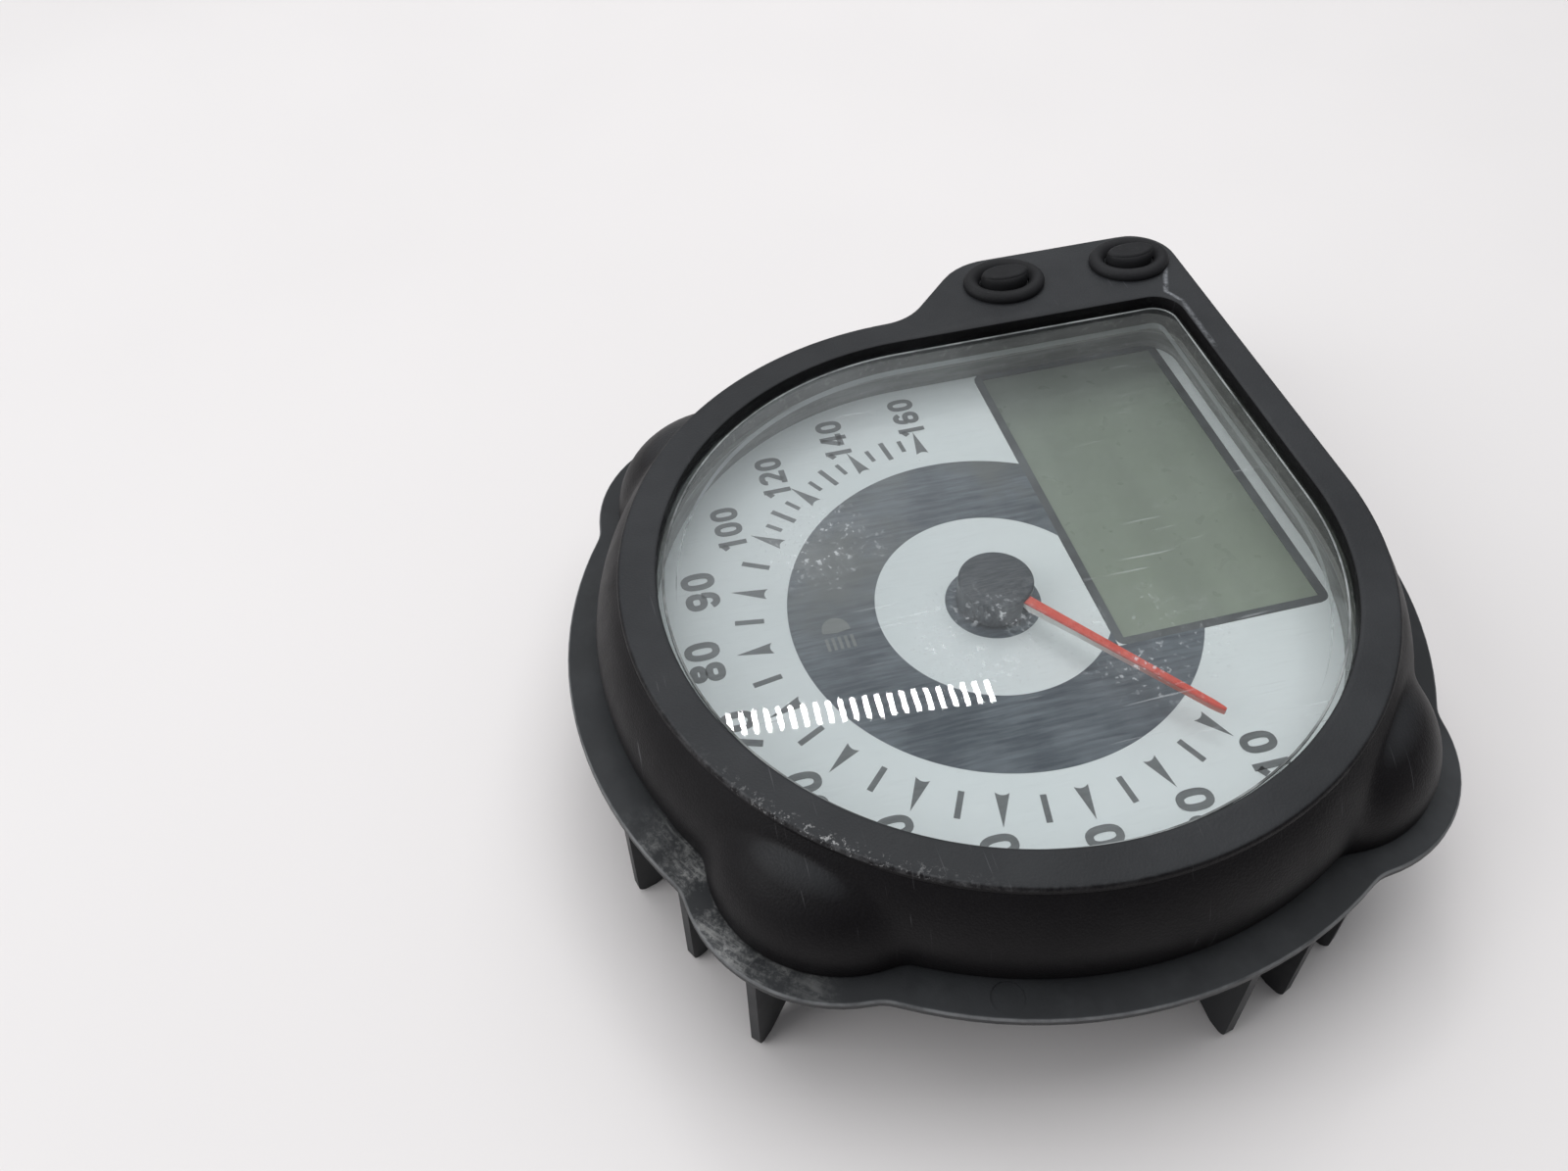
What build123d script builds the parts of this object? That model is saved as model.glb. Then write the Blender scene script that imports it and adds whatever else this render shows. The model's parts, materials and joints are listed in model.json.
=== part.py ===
from build123d import *
import os
from math import cos, radians, sin, sqrt

# Motorcycle instrument cluster lying on its back.
# Origin: on the pointer axis, in the plane of the rear mounting bosses.
# +X: the way the dial's numerals read.  +Y: the dial's twelve o'clock.  +Z: out of the dial.
# All sizes are millimetres.

# ---- driving dimensions ----
BEZEL_R = 59.8
OPENING_R = 54.4
OPENING_CORNER_R = 5.1
STRIP_X = 74.0
STRIP_SLOPE_SUM = 55.4
STRIP_CORNER_R = 7.5
STRIP_SHOULDER_R = 12.0
STRIP_THROAT_R = 12.0
BEZEL_TOP_Z = 42.75
DIAL_Z = 30.0
WALL = 2.2

# Outward bulge of the case wall past the bezel outline, from the lower rim up: (height, offset).
WALL_BULGE = [(27.4, 4.7), (29.6, 5.4), (33.0, 5.1), (37.0, 3.7), (40.0, 2.0), (41.6, 0.8)]
BEZEL_EDGE_R = 0.7
PLATE_UNDER_Z = 40.3
UPPER_CAVITY_Z = 36.0

LOBE_ANGLES = (45, 135, 225)
LOBE_CENTRE_R = 52.0
LOBE_R = 19.5
LOBE_TOP_Z = 40.0
LOBE_DOME_R = 12.5

FLANGE_OFFSET = 10.8
FLANGE_INNER_OFFSET = 4.5
FLANGE_LOBE_R = 23.4
FLANGE_BLEND_R = 7.0
FLANGE_Z = (24.3, 26.0)
FLANGE_EDGE_R = 0.5
FLANGE_SCREW_R = 8.5

# Rear bowl outline offsets from the bezel outline, from the rim down: (height, offset).
BOWL = [(26.0, -0.6), (20.0, -1.6), (4.0, -12.5)]
BOWL_FLOOR_Z = (4.0, 6.2)

FIN_ANGLES = (106.5, 119.5, 193, 203, 213, 13, 23, 33)
LOBE_FIN_ANGLE = 133.3
FIN_R = 69.0
LOBE_FIN_R = 73.4
FIN_T = 1.6
FIN_TIP = 3.0
FIN_SLOPE = 0.5
FIN_ROOT_R = 40.0
FIN_CORNER_R = 1.4
EJECTOR_MARK = (67.4, 162, 2.4, 0.2)

SCREW_ANGLES = (45, 141, 225)
SCREW_RING_R = 63.6
SCREW_PLACES = [(SCREW_RING_R * cos(radians(a)), SCREW_RING_R * sin(radians(a))) for a in SCREW_ANGLES]
STRIP_SCREW = (67.8, -37.9)
SCREW_R = 1.9
SCREW_HEAD_R = 3.6
SCREW_HEAD_H = 2.2
SCREW_LENGTH = 12.0
SCREW_HOLE_R = 2.2
SCREW_SLOT = (1.9, 0.45, 1.3)
POST_R = 3.7
STRIP_POST_R = 3.4

MOUNT_PCD_R = 36.0
MOUNT_ANGLES = (90, 210, 330)
MOUNT_BOSS_R = 6.5
INSERT_R = 4.0
INSERT_BORE_R = 2.1
INSERT_LENGTH = 10.0

# The lens is a shallow dish: a rim held under the case and a pane that stands up into the opening.
LENS_Z = (37.5, 39.5)
LENS_OFFSET = 2.6
LENS_PANE_Z = (38.7, 40.7)
LENS_PANE_OFFSET = -0.8
LENS_WALL = 2.0
LENS_EDGE_R = 0.5
SHROUD_OFFSETS = (1.2, 1.8, 2.9)
SHROUD_STEP_Z = 33.8
DIAL_PLATE_T = 0.8
DIAL_OFFSET = 2.4
GUIDE_Z = (26.4, 29.2)

LCD_X = (-14.3, 55.8)
LCD_Y = (-53.4, -16.0)
LCD_FRAME_T = 1.0
LCD_GLASS_Z = (27.6, 29.7)

PCB_Z = (21.4, 23.0)
PCB_OFFSET = -4.2
PCB_SCREWS = [(-34.0, 34.0), (34.0, 34.0), (-40.0, -26.0), (59.4, -38.0)]

NEEDLE_ANGLE = 216
NEEDLE_TIP_R = 41.1
NEEDLE_Z = (33.7, 35.0)
NEEDLE_ROOT_W = 1.8
NEEDLE_TIP_W = 1.0
CAP_R = 6.15
CAP_Z = (30.8, 35.6)
CAP_WALL = 1.1
HUB_R = 4.6
SHAFT_R = 1.0
FIT = 0.05

OUTPUT_GEAR_Z = (17.6, 19.4)
IDLER_GEAR_Z = (15.4, 16.8)
IDLER_PINION_Z = (16.8, 19.7)
ROTOR_PINION_Z = (15.0, 17.5)
SHAFT_Z = (12.2, 34.2)
IDLER_AXLE_Z = (12.2, 20.7)
ROTOR_AXLE_Z = (10.7, 19.8)
MAGNET_Z = (11.9, 15.0)
STATOR_Z = (12.8, 13.8)
STATOR_GAP = 0.4
COIL_X = 9.5
COIL_Y = (6.1, 14.9)
COIL_R = 2.4
SHAFT_BEARING_TOP_Z = 17.0
IDLER_BEARING_TOP_Z = 15.0
ROTOR_BEARING_Z = 17.8
GEAR_MODULE = 0.3
OUTPUT_TEETH = 60
IDLER_TEETH = 40
PINION_TEETH = 10
IDLER_Y = GEAR_MODULE * (OUTPUT_TEETH + PINION_TEETH) / 2
ROTOR_Y = IDLER_Y + GEAR_MODULE * (IDLER_TEETH + PINION_TEETH) / 2
AXLE_R = 0.6
MAGNET_R = 3.0
MOTOR_CENTRE_Y = 7.0
MOTOR_R = 17.5
MOTOR_Z = (10.4, 21.4)
MOTOR_SPLIT_Z = 16.0
MOTOR_WALL = 1.0

BUTTON_X = 66.0
BUTTON_YS = {"upper": -25.0, "lower": -50.7}
KEY_R = 4.7
KEY_FACE_Z = 43.0
KEY_RIDGE_Z = 45.7
KEY_RIDGE = (2.3, 4.5)
KEY_GAP = 0.3
BOOT_R = 7.9
BOOT_NECK_R = 6.3
BOOT_TOP_Z = 45.0
BOOT_LIP_R = 7.2
KEY_SKIRT_Z = (38.2, 39.1)
KEY_STEM = (1.9, 0.6)
SWITCH_SIZE = 6.0
SWITCH_TOP_Z = 26.5
PLUNGER_R = 1.7
PLUNGER_Z = (25.4, 28.0)

SOCKET_Y = -33.0
SOCKET_HALF = (16.0, 7.5)
SOCKET_Z = (1.0, 18.0)
SOCKET_DEPTH_Z = 13.0
SOCKET_WALL = 2.0
PIN_ROWS = (-36.4, -29.6)
PIN_COUNT = 8
PIN_PITCH = 3.2
PIN_W = 1.0
VENT_PLACE = (-22.0, 24.0)
VENT_R = 3.0
DIAL_LED_R = 46.0
DIAL_LED_ANGLES = (0, 22.5, 67.5, 90, 112.5, 157.5, 180, 202.5)
TELLTALE_R = 26.8
TELLTALE_ANGLES = (10, 50, 90, 130, 170)
CAPACITOR_PLACES = ((-30.0, 10.0), (-30.0, 0.0))
CAPACITOR_SIZE = (4.0, 8.0)
CHIP_X = (24.0, 38.0)
CHIP_Y = (5.0, 19.0)

UP = (0, 0, 1)
BASE = (Align.CENTER, Align.CENTER, Align.MIN)


# ---- helpers ----
def polar(radius, degrees):
    return (radius * cos(radians(degrees)), radius * sin(radians(degrees)))


def disc(place, radius, z0, z1):
    return Pos(place[0], place[1], z0) * Cylinder(radius, z1 - z0, align=BASE)


def block(xs, ys, zs):
    centre = Pos((xs[0] + xs[1]) / 2, (ys[0] + ys[1]) / 2, zs[0])
    return centre * Box(xs[1] - xs[0], ys[1] - ys[0], zs[1] - zs[0], align=BASE)


def slab(face, z0, z1):
    return extrude(Pos(0, 0, z0) * face, amount=z1 - z0, dir=UP)


def rounded(face, corner, radius):
    return fillet(face.vertices().sort_by_distance((corner[0], corner[1], 0))[0], radius)


def join(shapes):
    shapes = list(shapes)
    return shapes[0] + shapes[1:] if len(shapes) > 1 else shapes[0]


def case_outline(offset):
    """Round case with the button strip squared off at its lower right, grown by offset."""
    r = BEZEL_R + offset
    x = STRIP_X + offset
    slope_sum = STRIP_SLOPE_SUM + offset * sqrt(2)
    half = slope_sum / 2
    reach = sqrt(r * r - 2 * half * half) / sqrt(2)
    throat = (half + reach, half - reach)
    shoulder = (x, slope_sum - x)
    corner = (x, -r)
    outline = [
        ThreePointArc(throat, (-r, 0), (0, -r)),
        Line((0, -r), corner),
        Line(corner, shoulder),
        Line(shoulder, throat),
    ]
    face = make_face(outline)
    face = rounded(face, corner, max(STRIP_CORNER_R + offset, 2.0))
    face = rounded(face, shoulder, max(STRIP_SHOULDER_R + offset, 2.0))
    return rounded(face, throat, max(STRIP_THROAT_R - offset, 1.2))


def window_outline(offset):
    """Round dial opening with a square lower right corner, grown by offset."""
    r = OPENING_R + offset
    outline = [
        ThreePointArc((r, 0), polar(r, 135), (0, -r)),
        Line((0, -r), (r, -r)),
        Line((r, -r), (r, 0)),
    ]
    return rounded(make_face(outline), (r, -r), OPENING_CORNER_R + offset)


def lobed_outline(offset, lobe_r, blend_r):
    """Case outline with the three screw lobes added, and their junctions blended."""
    face = case_outline(offset)
    for angle in LOBE_ANGLES:
        face = face + Pos(*polar(LOBE_CENTRE_R, angle)) * Circle(lobe_r)
    for angle in LOBE_ANGLES:
        for side in (-1, 1):
            r = BEZEL_R + offset
            cosine = (r * r + LOBE_CENTRE_R ** 2 - lobe_r ** 2) / (2 * r * LOBE_CENTRE_R)
            spread = degrees_of(cosine)
            face = rounded(face, polar(r, angle + side * spread), blend_r)
    return face


def degrees_of(cosine):
    return Vector(1, 0).get_angle(Vector(cosine, sqrt(1 - cosine * cosine)))


def gear(teeth, z0, z1, place):
    """Spur gear with short straight-sided teeth and free backlash, a tooth on its +X side."""
    pitch_r = GEAR_MODULE * teeth / 2
    tip_r = pitch_r + 0.75 * GEAR_MODULE
    root_r = pitch_r - 1.15 * GEAR_MODULE
    step = 360 / teeth
    points = []
    for i in range(teeth):
        angle = i * step
        points.append(polar(root_r, angle - 0.26 * step))
        points.append(polar(tip_r, angle - 0.10 * step))
        points.append(polar(tip_r, angle + 0.10 * step))
        points.append(polar(root_r, angle + 0.26 * step))
    return Pos(place[0], place[1], 0) * slab(make_face(Polyline(points, close=True)), z0, z1)


# ---- case ----
def front_case():
    bulge = loft([Pos(0, 0, z) * case_outline(d) for z, d in WALL_BULGE])
    top_z, top_d = WALL_BULGE[-1]
    rim = slab(case_outline(top_d), top_z, BEZEL_TOP_Z)
    rim = fillet(rim.faces().sort_by(Axis.Z)[-1].edges(), BEZEL_EDGE_R)
    low_z = WALL_BULGE[0][0]
    body = bulge + rim
    hollow = slab(case_outline(3.0), low_z, 33.0)
    for angle in LOBE_ANGLES:
        place = polar(LOBE_CENTRE_R, angle)
        dome = disc(place, LOBE_R, low_z, LOBE_TOP_Z)
        body += fillet(dome.faces().sort_by(Axis.Z)[-1].edges(), LOBE_DOME_R)
        hollow += disc(place, LOBE_R - WALL, low_z, 33.0)
    body -= hollow
    seat_z = FLANGE_Z[1] + 1.0
    body += slab(case_outline(-0.2) - case_outline(-WALL), seat_z, UPPER_CAVITY_Z)
    body -= slab(case_outline(-WALL), seat_z, UPPER_CAVITY_Z)
    body -= slab(case_outline(-0.4), UPPER_CAVITY_Z, PLATE_UNDER_Z)
    body -= slab(window_outline(0), PLATE_UNDER_Z - 1, BEZEL_TOP_Z + 1)
    for place in SCREW_PLACES:
        body += disc(place, POST_R, FLANGE_Z[1], 37.0)
    body += disc(STRIP_SCREW, STRIP_POST_R, FLANGE_Z[1], PLATE_UNDER_Z)
    for place in SCREW_PLACES + [STRIP_SCREW]:
        body -= disc(place, SCREW_R, FLANGE_Z[0], FLANGE_Z[0] + SCREW_LENGTH + 0.4)
    for y in BUTTON_YS.values():
        body -= disc((BUTTON_X, y), BOOT_NECK_R, PLATE_UNDER_Z - 1, BEZEL_TOP_Z + 1)
    return body


def fin(angle, outer_r):
    """Upright radial fin under the flange, its lower edge rising inward from a rounded tip."""
    inner_r = FIN_ROOT_R
    top = FLANGE_Z[0] + 0.8
    profile = Polyline(
        (outer_r, 0),
        (outer_r, top),
        (inner_r, top),
        (inner_r, FIN_SLOPE * (outer_r - inner_r - FIN_TIP)),
        (outer_r - FIN_TIP, 0),
        close=True,
    )
    blade = extrude(Plane.XZ * make_face(profile), amount=FIN_T / 2, both=True)
    blade = fillet(blade.edges().filter_by(Axis.Y).sort_by_distance((outer_r, 0, 0))[0], FIN_CORNER_R)
    return Rot(0, 0, angle) * blade


def rear_case():
    shell = loft([Pos(0, 0, z) * case_outline(d) for z, d in BOWL], ruled=True)
    cavity = loft([Pos(0, 0, z) * case_outline(d - WALL) for z, d in BOWL], ruled=True)
    cavity = cavity - block((-99, 99), (-99, 99), (0, BOWL_FLOOR_Z[1]))
    flange = slab(lobed_outline(FLANGE_OFFSET, FLANGE_LOBE_R, FLANGE_BLEND_R), *FLANGE_Z)
    rims = [flange.faces().sort_by(Axis.Z)[i].edges() for i in (0, -1)]
    flange = fillet(rims[0] + rims[1], FLANGE_EDGE_R)
    flange -= slab(case_outline(FLANGE_INNER_OFFSET), *FLANGE_Z)
    body = shell + flange
    for place in SCREW_PLACES:
        body += disc(place, FLANGE_SCREW_R, *FLANGE_Z)
    for angle in FIN_ANGLES:
        body += fin(angle, FIN_R)
    body += fin(LOBE_FIN_ANGLE, LOBE_FIN_R)
    body -= cavity
    for angle in MOUNT_ANGLES:
        body += disc(polar(MOUNT_PCD_R, angle), MOUNT_BOSS_R, 0, INSERT_LENGTH + 2)
    for place in PCB_SCREWS:
        post = disc(place, 3.2, BOWL_FLOOR_Z[0] + 1, PCB_Z[0])
        body += post & shell
    tube = disc(STRIP_SCREW, 4.8, 12.0, FLANGE_Z[1])
    body += tube
    body -= disc(STRIP_SCREW, SCREW_HEAD_R + 0.3, 0, FLANGE_Z[0])
    for place in SCREW_PLACES + [STRIP_SCREW]:
        body -= disc(place, SCREW_HOLE_R, FLANGE_Z[0] - 1, FLANGE_Z[1] + 1)
    for place in PCB_SCREWS:
        body -= disc(place, 1.2, PCB_Z[0] - 9, PCB_Z[0])
    for angle in MOUNT_ANGLES:
        body -= disc(polar(MOUNT_PCD_R, angle), INSERT_R, 0, INSERT_LENGTH)
    x, y = SOCKET_HALF
    body -= block((-x, x), (SOCKET_Y - y, SOCKET_Y + y), (0, BOWL_FLOOR_Z[1]))
    body -= disc(VENT_PLACE, VENT_R, 0, BOWL_FLOOR_Z[1])
    mark_at, mark_angle, mark_r, mark_depth = EJECTOR_MARK
    return body - disc(polar(mark_at, mark_angle), mark_r, FLANGE_Z[1] - mark_depth, FLANGE_Z[1])


def case_gasket():
    return slab(case_outline(-0.7) - case_outline(-2.4), FLANGE_Z[1], FLANGE_Z[1] + 1.0)


def case_screw(place):
    head = disc(place, SCREW_HEAD_R, FLANGE_Z[0] - SCREW_HEAD_H, FLANGE_Z[0])
    head = chamfer(head.faces().sort_by(Axis.Z)[0].edges(), 0.5)
    shank = disc(place, SCREW_R, FLANGE_Z[0], FLANGE_Z[0] + SCREW_LENGTH)
    half_length, half_width, depth = SCREW_SLOT
    foot_z = FLANGE_Z[0] - SCREW_HEAD_H
    slot = block((-half_length, half_length), (-half_width, half_width), (foot_z, foot_z + depth))
    return head + shank - Pos(*place) * slot - Pos(*place) * Rot(0, 0, 90) * slot


def mount_insert(angle):
    place = polar(MOUNT_PCD_R, angle)
    sleeve = disc(place, INSERT_R, 0, INSERT_LENGTH)
    for z in (3.0, 6.5):
        sleeve -= disc(place, INSERT_R, z, z + 0.8) - disc(place, INSERT_R - 0.4, z, z + 0.8)
    return sleeve - disc(place, INSERT_BORE_R, 0, INSERT_LENGTH)


def breather_vent():
    plug = disc(VENT_PLACE, VENT_R, BOWL_FLOOR_Z[0], BOWL_FLOOR_Z[1])
    cap = disc(VENT_PLACE, 5.0, 2.2, BOWL_FLOOR_Z[0])
    cap = fillet(cap.faces().sort_by(Axis.Z)[0].edges(), 0.7)
    return plug + cap - disc(VENT_PLACE, 1.0, 3.2, BOWL_FLOOR_Z[1])


# ---- lens and dial ----
def clear_lens():
    pane = slab(window_outline(LENS_PANE_OFFSET), LENS_Z[1], LENS_PANE_Z[1])
    pane = fillet(pane.faces().sort_by(Axis.Z)[-1].edges(), LENS_EDGE_R)
    body = slab(window_outline(LENS_OFFSET), *LENS_Z) + pane
    return body - slab(window_outline(LENS_PANE_OFFSET - LENS_WALL), LENS_Z[0], LENS_PANE_Z[0])


def lens_gasket():
    return slab(window_outline(LENS_OFFSET) - window_outline(0.4), LENS_Z[1], PLATE_UNDER_Z)


def dial_shroud():
    low, high, outer = SHROUD_OFFSETS
    body = slab(window_outline(outer), DIAL_Z, LENS_Z[0])
    body -= slab(window_outline(low), DIAL_Z, SHROUD_STEP_Z)
    return body - slab(window_outline(high), SHROUD_STEP_Z, LENS_Z[0])


def lcd_block(margin, z0, z1):
    return block((LCD_X[0] - margin, LCD_X[1] + margin), (LCD_Y[0] - margin, LCD_Y[1] + margin), (z0, z1))


def dial_plate():
    plate = slab(window_outline(DIAL_OFFSET), DIAL_Z - DIAL_PLATE_T, DIAL_Z)
    return plate - lcd_block(0.1, 0, 60) - disc((0, 0), 2.4, 0, 60)


def light_guide():
    plate = slab(window_outline(1.5), *GUIDE_Z) - lcd_block(0.1, 0, 60)
    plate -= block((50.0, 60.0), (-60.0, -10.0), (0, 60))
    return plate - disc((0, 0), 5.0, 0, 60)


def lcd_frame():
    rim = lcd_block(0, 24.2, DIAL_Z) - lcd_block(-LCD_FRAME_T, 24.2, LCD_GLASS_Z[1] - 0.01)
    return rim - lcd_block(-LCD_FRAME_T - 0.5, 0, 60)


def lcd_glass():
    lower = lcd_block(-LCD_FRAME_T, LCD_GLASS_Z[0], LCD_GLASS_Z[0] + 1.0)
    upper = lcd_block(-LCD_FRAME_T, LCD_GLASS_Z[0] + 1.0, LCD_GLASS_Z[1] - 0.01)
    return lower + upper


def lcd_backlight():
    xs = (LCD_X[0] + 2.0, LCD_X[1] - 2.0)
    plate = block(xs, (LCD_Y[0] + 4.0, LCD_Y[1] - 4.0), (24.6, LCD_GLASS_Z[0]))
    return chamfer(plate.edges().filter_by(Axis.Z), 1.5)


def zebra_strip(y):
    return block((LCD_X[0] + 4.0, LCD_X[1] - 4.0), (y - 1.0, y + 1.0), (PCB_Z[1], LCD_GLASS_Z[0]))


# ---- electronics ----
def pin(x, y):
    body = block((x - PIN_W / 2, x + PIN_W / 2), (y - PIN_W / 2, y + PIN_W / 2), (3.0, PCB_Z[1] + 0.9))
    return chamfer(body.faces().sort_by(Axis.Z)[0].edges(), 0.3)


def pin_places():
    first = -PIN_PITCH * (PIN_COUNT - 1) / 2
    return [(first + PIN_PITCH * i, y) for y in PIN_ROWS for i in range(PIN_COUNT)]


def pin_holes():
    half = PIN_W / 2
    return join(block((x - half, x + half), (y - half, y + half), (5, 40)) for x, y in pin_places())


def main_pcb():
    board = slab(case_outline(PCB_OFFSET), *PCB_Z)
    board -= disc((0, 0), 3.5, 0, 60) + disc(STRIP_SCREW, 5.4, 0, 60)
    for place in PCB_SCREWS:
        board -= disc(place, 1.5, 0, 60)
    return board - pin_holes()


def pcb_screw(place):
    head = disc(place, 2.6, PCB_Z[1], PCB_Z[1] + 1.6)
    head = fillet(head.faces().sort_by(Axis.Z)[-1].edges(), 0.6)
    return head + disc(place, 1.2, PCB_Z[1] - 8.5, PCB_Z[1])


def connector_shell():
    x, y = SOCKET_HALF
    body = block((-x, x), (SOCKET_Y - y, SOCKET_Y + y), SOCKET_Z)
    body = fillet(body.edges().filter_by(Axis.Z), 1.5)
    body += block((-x - 2, x + 2), (SOCKET_Y - y - 2, SOCKET_Y + y + 2), (7.0, 9.0))
    x -= SOCKET_WALL
    y -= SOCKET_WALL
    body -= block((-x, x), (SOCKET_Y - y, SOCKET_Y + y), (SOCKET_Z[0], SOCKET_DEPTH_Z))
    return body - pin_holes()


def connector_gasket():
    x, y = SOCKET_HALF
    outer = block((-x - 2, x + 2), (SOCKET_Y - y - 2, SOCKET_Y + y + 2), (BOWL_FLOOR_Z[1], 7.0))
    return outer - block((-x, x), (SOCKET_Y - y, SOCKET_Y + y), (0, 20))


def led(place):
    z = PCB_Z[1]
    package = block((place[0] - 1.5, place[0] + 1.5), (place[1] - 1.25, place[1] + 1.25), (z, z + 1.0))
    return package + disc(place, 0.9, z + 1.0, z + 1.3)


def light_box():
    """Opaque walls that keep the telltale lamps apart, between the board and the light guide."""
    zs = (PCB_Z[1], GUIDE_Z[0])
    body = disc((0, 0), 34.2, *zs) - disc((0, 0), 33.0, *zs)
    body += disc((0, 0), 20.0, *zs) - disc((0, 0), 18.8, *zs)
    for angle in (-8, 28, 72, 108, 152, 188):
        body += Rot(0, 0, angle) * block((19.5, 33.5), (-0.6, 0.6), zs)
    return body - lcd_block(0.5, 0, 60)


def microcontroller():
    body = block(CHIP_X, CHIP_Y, (PCB_Z[0] - 1.6, PCB_Z[0] - 0.2))
    for i in range(10):
        x = CHIP_X[0] + 1.4 + 1.25 * i
        body += block((x - 0.2, x + 0.2), (CHIP_Y[0] - 1.4, CHIP_Y[1] + 1.4), (PCB_Z[0] - 0.5, PCB_Z[0]))
    return body


def capacitor(place):
    radius, height = CAPACITOR_SIZE
    can = disc(place, radius, PCB_Z[0] - height, PCB_Z[0])
    return fillet(can.faces().sort_by(Axis.Z)[0].edges(), 0.6)


# ---- stepper motor and pointer ----
def motor_outline(offset):
    return Pos(0, MOTOR_CENTRE_Y) * Circle(MOTOR_R + offset)


def motor_housing_rear():
    z0 = MOTOR_Z[0]
    cup = slab(motor_outline(0), z0, MOTOR_SPLIT_Z)
    cup -= slab(motor_outline(-MOTOR_WALL), z0 + MOTOR_WALL, MOTOR_SPLIT_Z)
    cup += disc((0, 0), 1.9, z0 + MOTOR_WALL, SHAFT_BEARING_TOP_Z)
    cup += disc((0, IDLER_Y), 1.5, z0 + MOTOR_WALL, IDLER_BEARING_TOP_Z)
    cup -= disc((0, 0), SHAFT_R + FIT, SHAFT_Z[0] - 0.2, SHAFT_BEARING_TOP_Z)
    cup -= disc((0, IDLER_Y), AXLE_R + FIT, IDLER_AXLE_Z[0] - 0.2, IDLER_BEARING_TOP_Z)
    return cup - disc((0, ROTOR_Y), AXLE_R + FIT, z0 + 0.2, z0 + MOTOR_WALL)


def motor_housing_front():
    z1 = MOTOR_Z[1]
    lid = slab(motor_outline(0), MOTOR_SPLIT_Z, z1)
    lid -= slab(motor_outline(-MOTOR_WALL), MOTOR_SPLIT_Z, z1 - MOTOR_WALL)
    lid += disc((0, ROTOR_Y), 1.5, ROTOR_BEARING_Z, z1 - MOTOR_WALL)
    lid -= disc((0, 0), SHAFT_R + FIT, z1 - MOTOR_WALL, z1)
    lid -= disc((0, ROTOR_Y), AXLE_R + FIT, ROTOR_BEARING_Z, z1 - 0.4)
    return lid - disc((0, IDLER_Y), AXLE_R + FIT, z1 - MOTOR_WALL, z1 - 0.4)


def stator():
    """Laminated yoke: an eye round the magnet, two arms through the coils and a cross bar."""
    zs = STATOR_Z
    plate = disc((0, ROTOR_Y), 5.2, *zs) + block((-10.8, 10.8), (ROTOR_Y - 1.4, ROTOR_Y + 1.4), zs)
    for x in (-COIL_X, COIL_X):
        plate += block((x - 1.5, x + 1.5), (2.5, ROTOR_Y), zs)
    plate += block((-11.0, 11.0), (2.5, 5.0), zs)
    return plate - disc((0, ROTOR_Y), MAGNET_R + STATOR_GAP, *zs)


def coil(x):
    centre_y = (COIL_Y[0] + COIL_Y[1]) / 2
    body = Pos(x, centre_y, 13.9) * Rot(90, 0, 0) * Cylinder(COIL_R, COIL_Y[1] - COIL_Y[0] - 0.8)
    for end in COIL_Y:
        body += block((x - 2.5, x + 2.5), (end - 0.4, end + 0.4), (11.5, 16.4))
    return body - block((x - 1.5, x + 1.5), (0, 30), STATOR_Z)


def rotor():
    place = (0, ROTOR_Y)
    body = disc(place, MAGNET_R, *MAGNET_Z) + disc(place, AXLE_R, *ROTOR_AXLE_Z)
    return body + gear(PINION_TEETH, *ROTOR_PINION_Z, place)


def idler_gear():
    place = (0, IDLER_Y)
    body = gear(IDLER_TEETH, *IDLER_GEAR_Z, place) + gear(PINION_TEETH, *IDLER_PINION_Z, place)
    return body + disc(place, AXLE_R, *IDLER_AXLE_Z)


def output_gear_shaft():
    top_z = OUTPUT_GEAR_Z[1]
    body = gear(OUTPUT_TEETH, *OUTPUT_GEAR_Z, (0, 0)) + disc((0, 0), 2.4, top_z, top_z + 0.7)
    return body + disc((0, 0), SHAFT_R, *SHAFT_Z)


def needle():
    """Light-piping pointer: a round hub on the shaft and a slim tapering blade."""
    hub = disc((0, 0), HUB_R, 31.6, NEEDLE_Z[1]) - disc((0, 0), SHAFT_R, 30, SHAFT_Z[1])
    blade = make_face(Polyline(
        (HUB_R - 1, -NEEDLE_ROOT_W / 2),
        (NEEDLE_TIP_R - 0.5, -NEEDLE_TIP_W / 2),
        (NEEDLE_TIP_R, 0),
        (NEEDLE_TIP_R - 0.5, NEEDLE_TIP_W / 2),
        (HUB_R - 1, NEEDLE_ROOT_W / 2),
        close=True,
    ))
    return Rot(0, 0, NEEDLE_ANGLE) * (hub + slab(blade, *NEEDLE_Z))


def pointer_cap():
    cap = disc((0, 0), CAP_R, *CAP_Z)
    cap = fillet(cap.faces().sort_by(Axis.Z)[-1].edges(), 0.4)
    cap -= disc((0, 0), CAP_R - CAP_WALL, CAP_Z[0], NEEDLE_Z[1])
    slot_w = NEEDLE_ROOT_W / 2 + 0.1
    slot = block((0, CAP_R + 1), (-slot_w, slot_w), (CAP_Z[0], NEEDLE_Z[1]))
    return cap - Rot(0, 0, NEEDLE_ANGLE) * slot


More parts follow.
